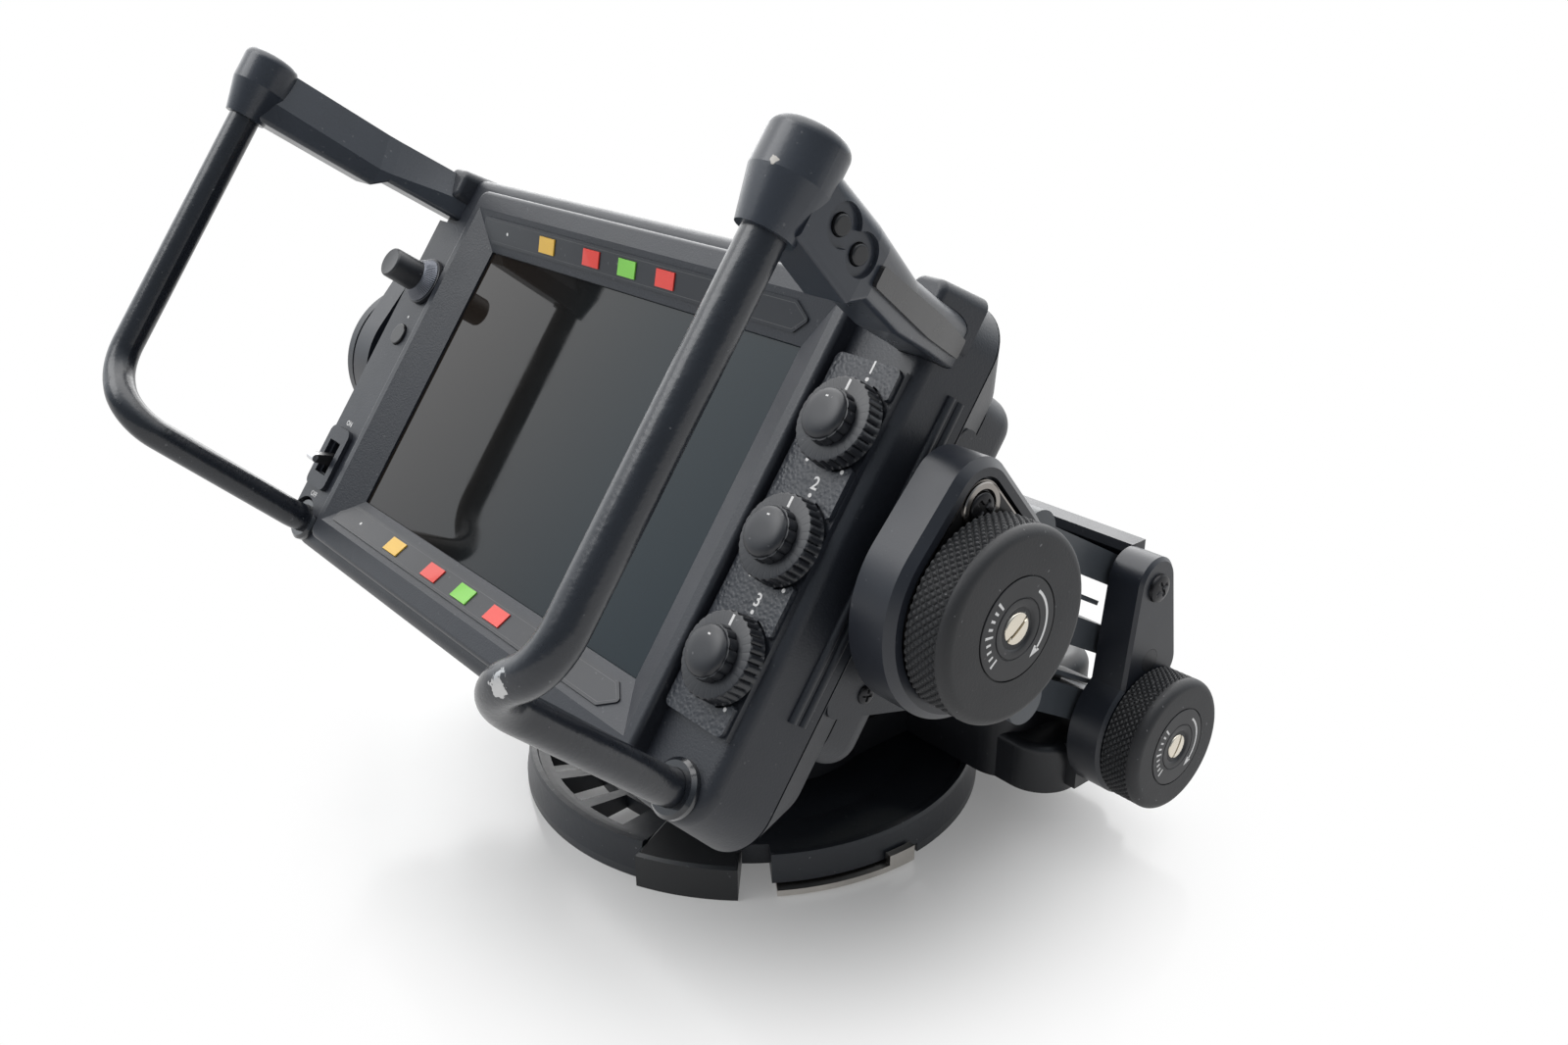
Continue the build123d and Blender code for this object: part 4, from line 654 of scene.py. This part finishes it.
# Left strip: the menu dial is a plain barrel on a turned metal skirt and a dark washer, and the power
# lever is a black paddle with a bright tip, with its two positions printed beside it.
DIAL_PLACE = (-110.0, 31.0, 0.0)
SWITCH_X = -114.0
STRIP_PRINT = 3.53
WORD_SIZE = 2.7
LEVER_TIP = on_head((SWITCH_X, -45.0, 11.4))
place = facing(on_head(DIAL_PLACE), OUT, UP)
barrel = [(3.8, 3.05), (3.8, 8.9), (5.1, 8.9), (5.3, 8.6), (5.3, 6.4), (9.0, 5.7), (19.5, 5.55), (20.0, 5.3),
          (20.25, 4.9), (20.1, 3.0), (20.0, 0.0)]
dial = skin("menu_dial_barrel", place(polar(*spun(barrel, 72))), wrap=True)
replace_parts(fit(dial, knob_plastic, "menu_dial"), "menu_dial")
skirt_alloy = Finish("skirt_alloy", (0.10, 0.105, 0.12), 0.34, metallic=0.9, grain=[(0.6, 0.01)])
cone = [(5.3, 6.3), (5.3, 8.3), (5.6, 8.4)]
cone += [(5.6 + 0.5 * n, 8.4 - 0.34 * n) for n in range(1, 8)] + [(9.3, 5.7)]
skirt = skin("menu_dial_skirt", place(fluted(cone, 60, 0.16, 5.5, 9.2, 1.0)), wrap=True)
fit(skirt, skirt_alloy, "menu_dial")


def bright_tip(place):
    """Bare metal round the lever's tip."""
    return place.near(LEVER_TIP, 4.4).step(0.30, 0.36)


Finish("lever_black", (0.010, 0.010, 0.011), 0.34, wear=bright_tip, bare=(0.70, 0.70, 0.71)).on(
    "power_toggle")
lettering("power_on", "ON", WORD_SIZE, (SWITCH_X, -28.6, STRIP_PRINT))
lettering("power_off", "OFF", WORD_SIZE, (SWITCH_X, -57.6, STRIP_PRINT))
dot = skin("menu_dot", on_head(disc(SWITCH_X + 3.0, 16.5, STRIP_PRINT, 0.55)), wrap=True, out=OUT)
fit(dot, print_white, "head")

# Studio: a pale glossy floor that fades to white, a bright room behind and above the object and a
# darker one at the camera's side, three soft lamps, and the camera of the photograph.
WHITE = (1.0, 1.0, 1.0, 1.0)
COOL = (0.80, 0.90, 1.0, 1.0)
FLOOR_HALF = 5.0
FLOOR_DROP = 0.0002
# The floor turns from NEAR_WHITE of plain white at FADE_FROM, in metres from its middle, to all white
FADE_FROM = 0.09
FADE_TO = 0.20
NEAR_WHITE = 0.16
floor_mesh = bpy.data.meshes.new("floor")
corners = [(FLOOR_HALF * x, FLOOR_HALF * y, -FLOOR_DROP) for x, y in ((-1, -1), (1, -1), (1, 1), (-1, 1))]
floor_mesh.from_pydata(corners, [], [(0, 1, 2, 3)])
floor = bpy.data.objects.new("floor", floor_mesh)
bpy.context.scene.collection.objects.link(floor)
floor_paint = Finish("floor_white", (0.86, 0.865, 0.865), 0.16, drift=0.01)
paint(floor, floor_paint.material)


def ray(tree, kind):
    """1 on rays of one kind, read from the Light Path node."""
    source = Wire(tree).node("ShaderNodeLightPath")
    return Wire(tree, source.socket.node.outputs[f"Is {kind} Ray"])


def mirrored_rays(tree):
    """1 on rays that a surface mirrors or lets through."""
    return (ray(tree, "Glossy") + ray(tree, "Transmission")).step(0.0, 1.0)


floor_tree = floor_paint.material.node_tree
floor_place = Wire(floor_tree).node("ShaderNodeTexCoord", {}, {}, 3)
distance = floor_place.node("ShaderNodeVectorMath", {"operation": "LENGTH"}, {0: floor_place}, 1)
fade = distance.step(FADE_FROM, FADE_TO) * (1 - NEAR_WHITE) + NEAR_WHITE
white = fade.node("ShaderNodeEmission", {}, {"Color": WHITE, "Strength": 1.0})
seen = ray(floor_tree, "Camera") + mirrored_rays(floor_tree)
surface = Wire(floor_tree, floor_paint.shader.outputs[0])
both = seen.node("ShaderNodeMixShader", {}, {0: seen * fade, 1: surface, 2: white})
both.into(floor_tree.nodes["Material Output"].inputs["Surface"])

# Diffuse rays meet WORLD_LIGHT all round, and mirrored ones a room from dark to bright along BRIGHT_WAY
WORLD_LIGHT = 0.52
DARK_SIDE = 0.32
BRIGHT_SIDE = 2.30
BRIGHT_WAY = (-0.62, 0.50, 0.85)
LIT_HEIGHT = 0.12
world = bpy.data.worlds.new("studio")
world.use_nodes = True
bpy.context.scene.world = world
world_tree = world.node_tree
background = world_tree.nodes["Background"]
direction = Wire(world_tree).node("ShaderNodeTexCoord")
lean = direction.node("ShaderNodeVectorMath", {"operation": "DOT_PRODUCT"}, {0: direction, 1: BRIGHT_WAY}, 1)
room = lean.step(-0.20, 0.95)
mirrored = mirrored_rays(world_tree)
indirect = mirrored * (room * (BRIGHT_SIDE - DARK_SIDE) + DARK_SIDE - WORLD_LIGHT) + WORLD_LIGHT
strength = ray(world_tree, "Camera") * (1 - indirect) + indirect
strength.into(background.inputs["Strength"])
(1 - mirrored * (1 - room)).mix(COOL, WHITE).into(background.inputs["Color"])


def aim(holder, place, towards):
    """Puts a camera or lamp at place, looking along towards, with its top up."""
    back = -np.asarray(towards, float) / np.linalg.norm(towards)
    across = np.cross((0.0, 0.0, 1.0), back)
    across = across / np.linalg.norm(across)
    axes = np.array([across, np.cross(back, across), back]).T
    holder.matrix_world = Matrix([(*row, at) for row, at in zip(axes, place)] + [(0, 0, 0, 1)])


def softbox(name, place, width, power):
    """Square lamp, aimed at the middle of the object."""
    lamp = bpy.data.lights.new(name, "AREA")
    lamp.shape = "SQUARE"
    lamp.size = width
    lamp.energy = power
    holder = bpy.data.objects.new(name, lamp)
    bpy.context.scene.collection.objects.link(holder)
    aim(holder, place, np.array([0.0, 0.0, LIT_HEIGHT]) - place)


softbox("top_light", (-0.25, 0.20, 1.55), 1.7, 13.0)
softbox("back_light", (-1.55, 1.35, 1.05), 1.7, 20.0)
softbox("side_light", (-0.55, -1.05, 1.45), 1.0, 11.0)

CAMERA_PLACE = (0.35081, -0.28286, 0.28526)
CAMERA_TURN = math.radians(-49.576)
CAMERA_DIP = math.radians(-22.684)
LENS_PIXELS = 1372.16
PHOTO_PIXELS = 1600
SENSOR = 36.0
camera = bpy.data.cameras.new("camera")
camera.sensor_width = SENSOR
camera.lens = LENS_PIXELS * SENSOR / PHOTO_PIXELS
camera.clip_start = 0.01
viewer = bpy.data.objects.new("camera", camera)
bpy.context.scene.collection.objects.link(viewer)
level = math.cos(CAMERA_DIP)
look = (math.sin(CAMERA_TURN) * level, math.cos(CAMERA_TURN) * level, math.sin(CAMERA_DIP))
aim(viewer, CAMERA_PLACE, look)
bpy.context.scene.camera = viewer
bpy.context.scene.view_settings.view_transform = "Standard"
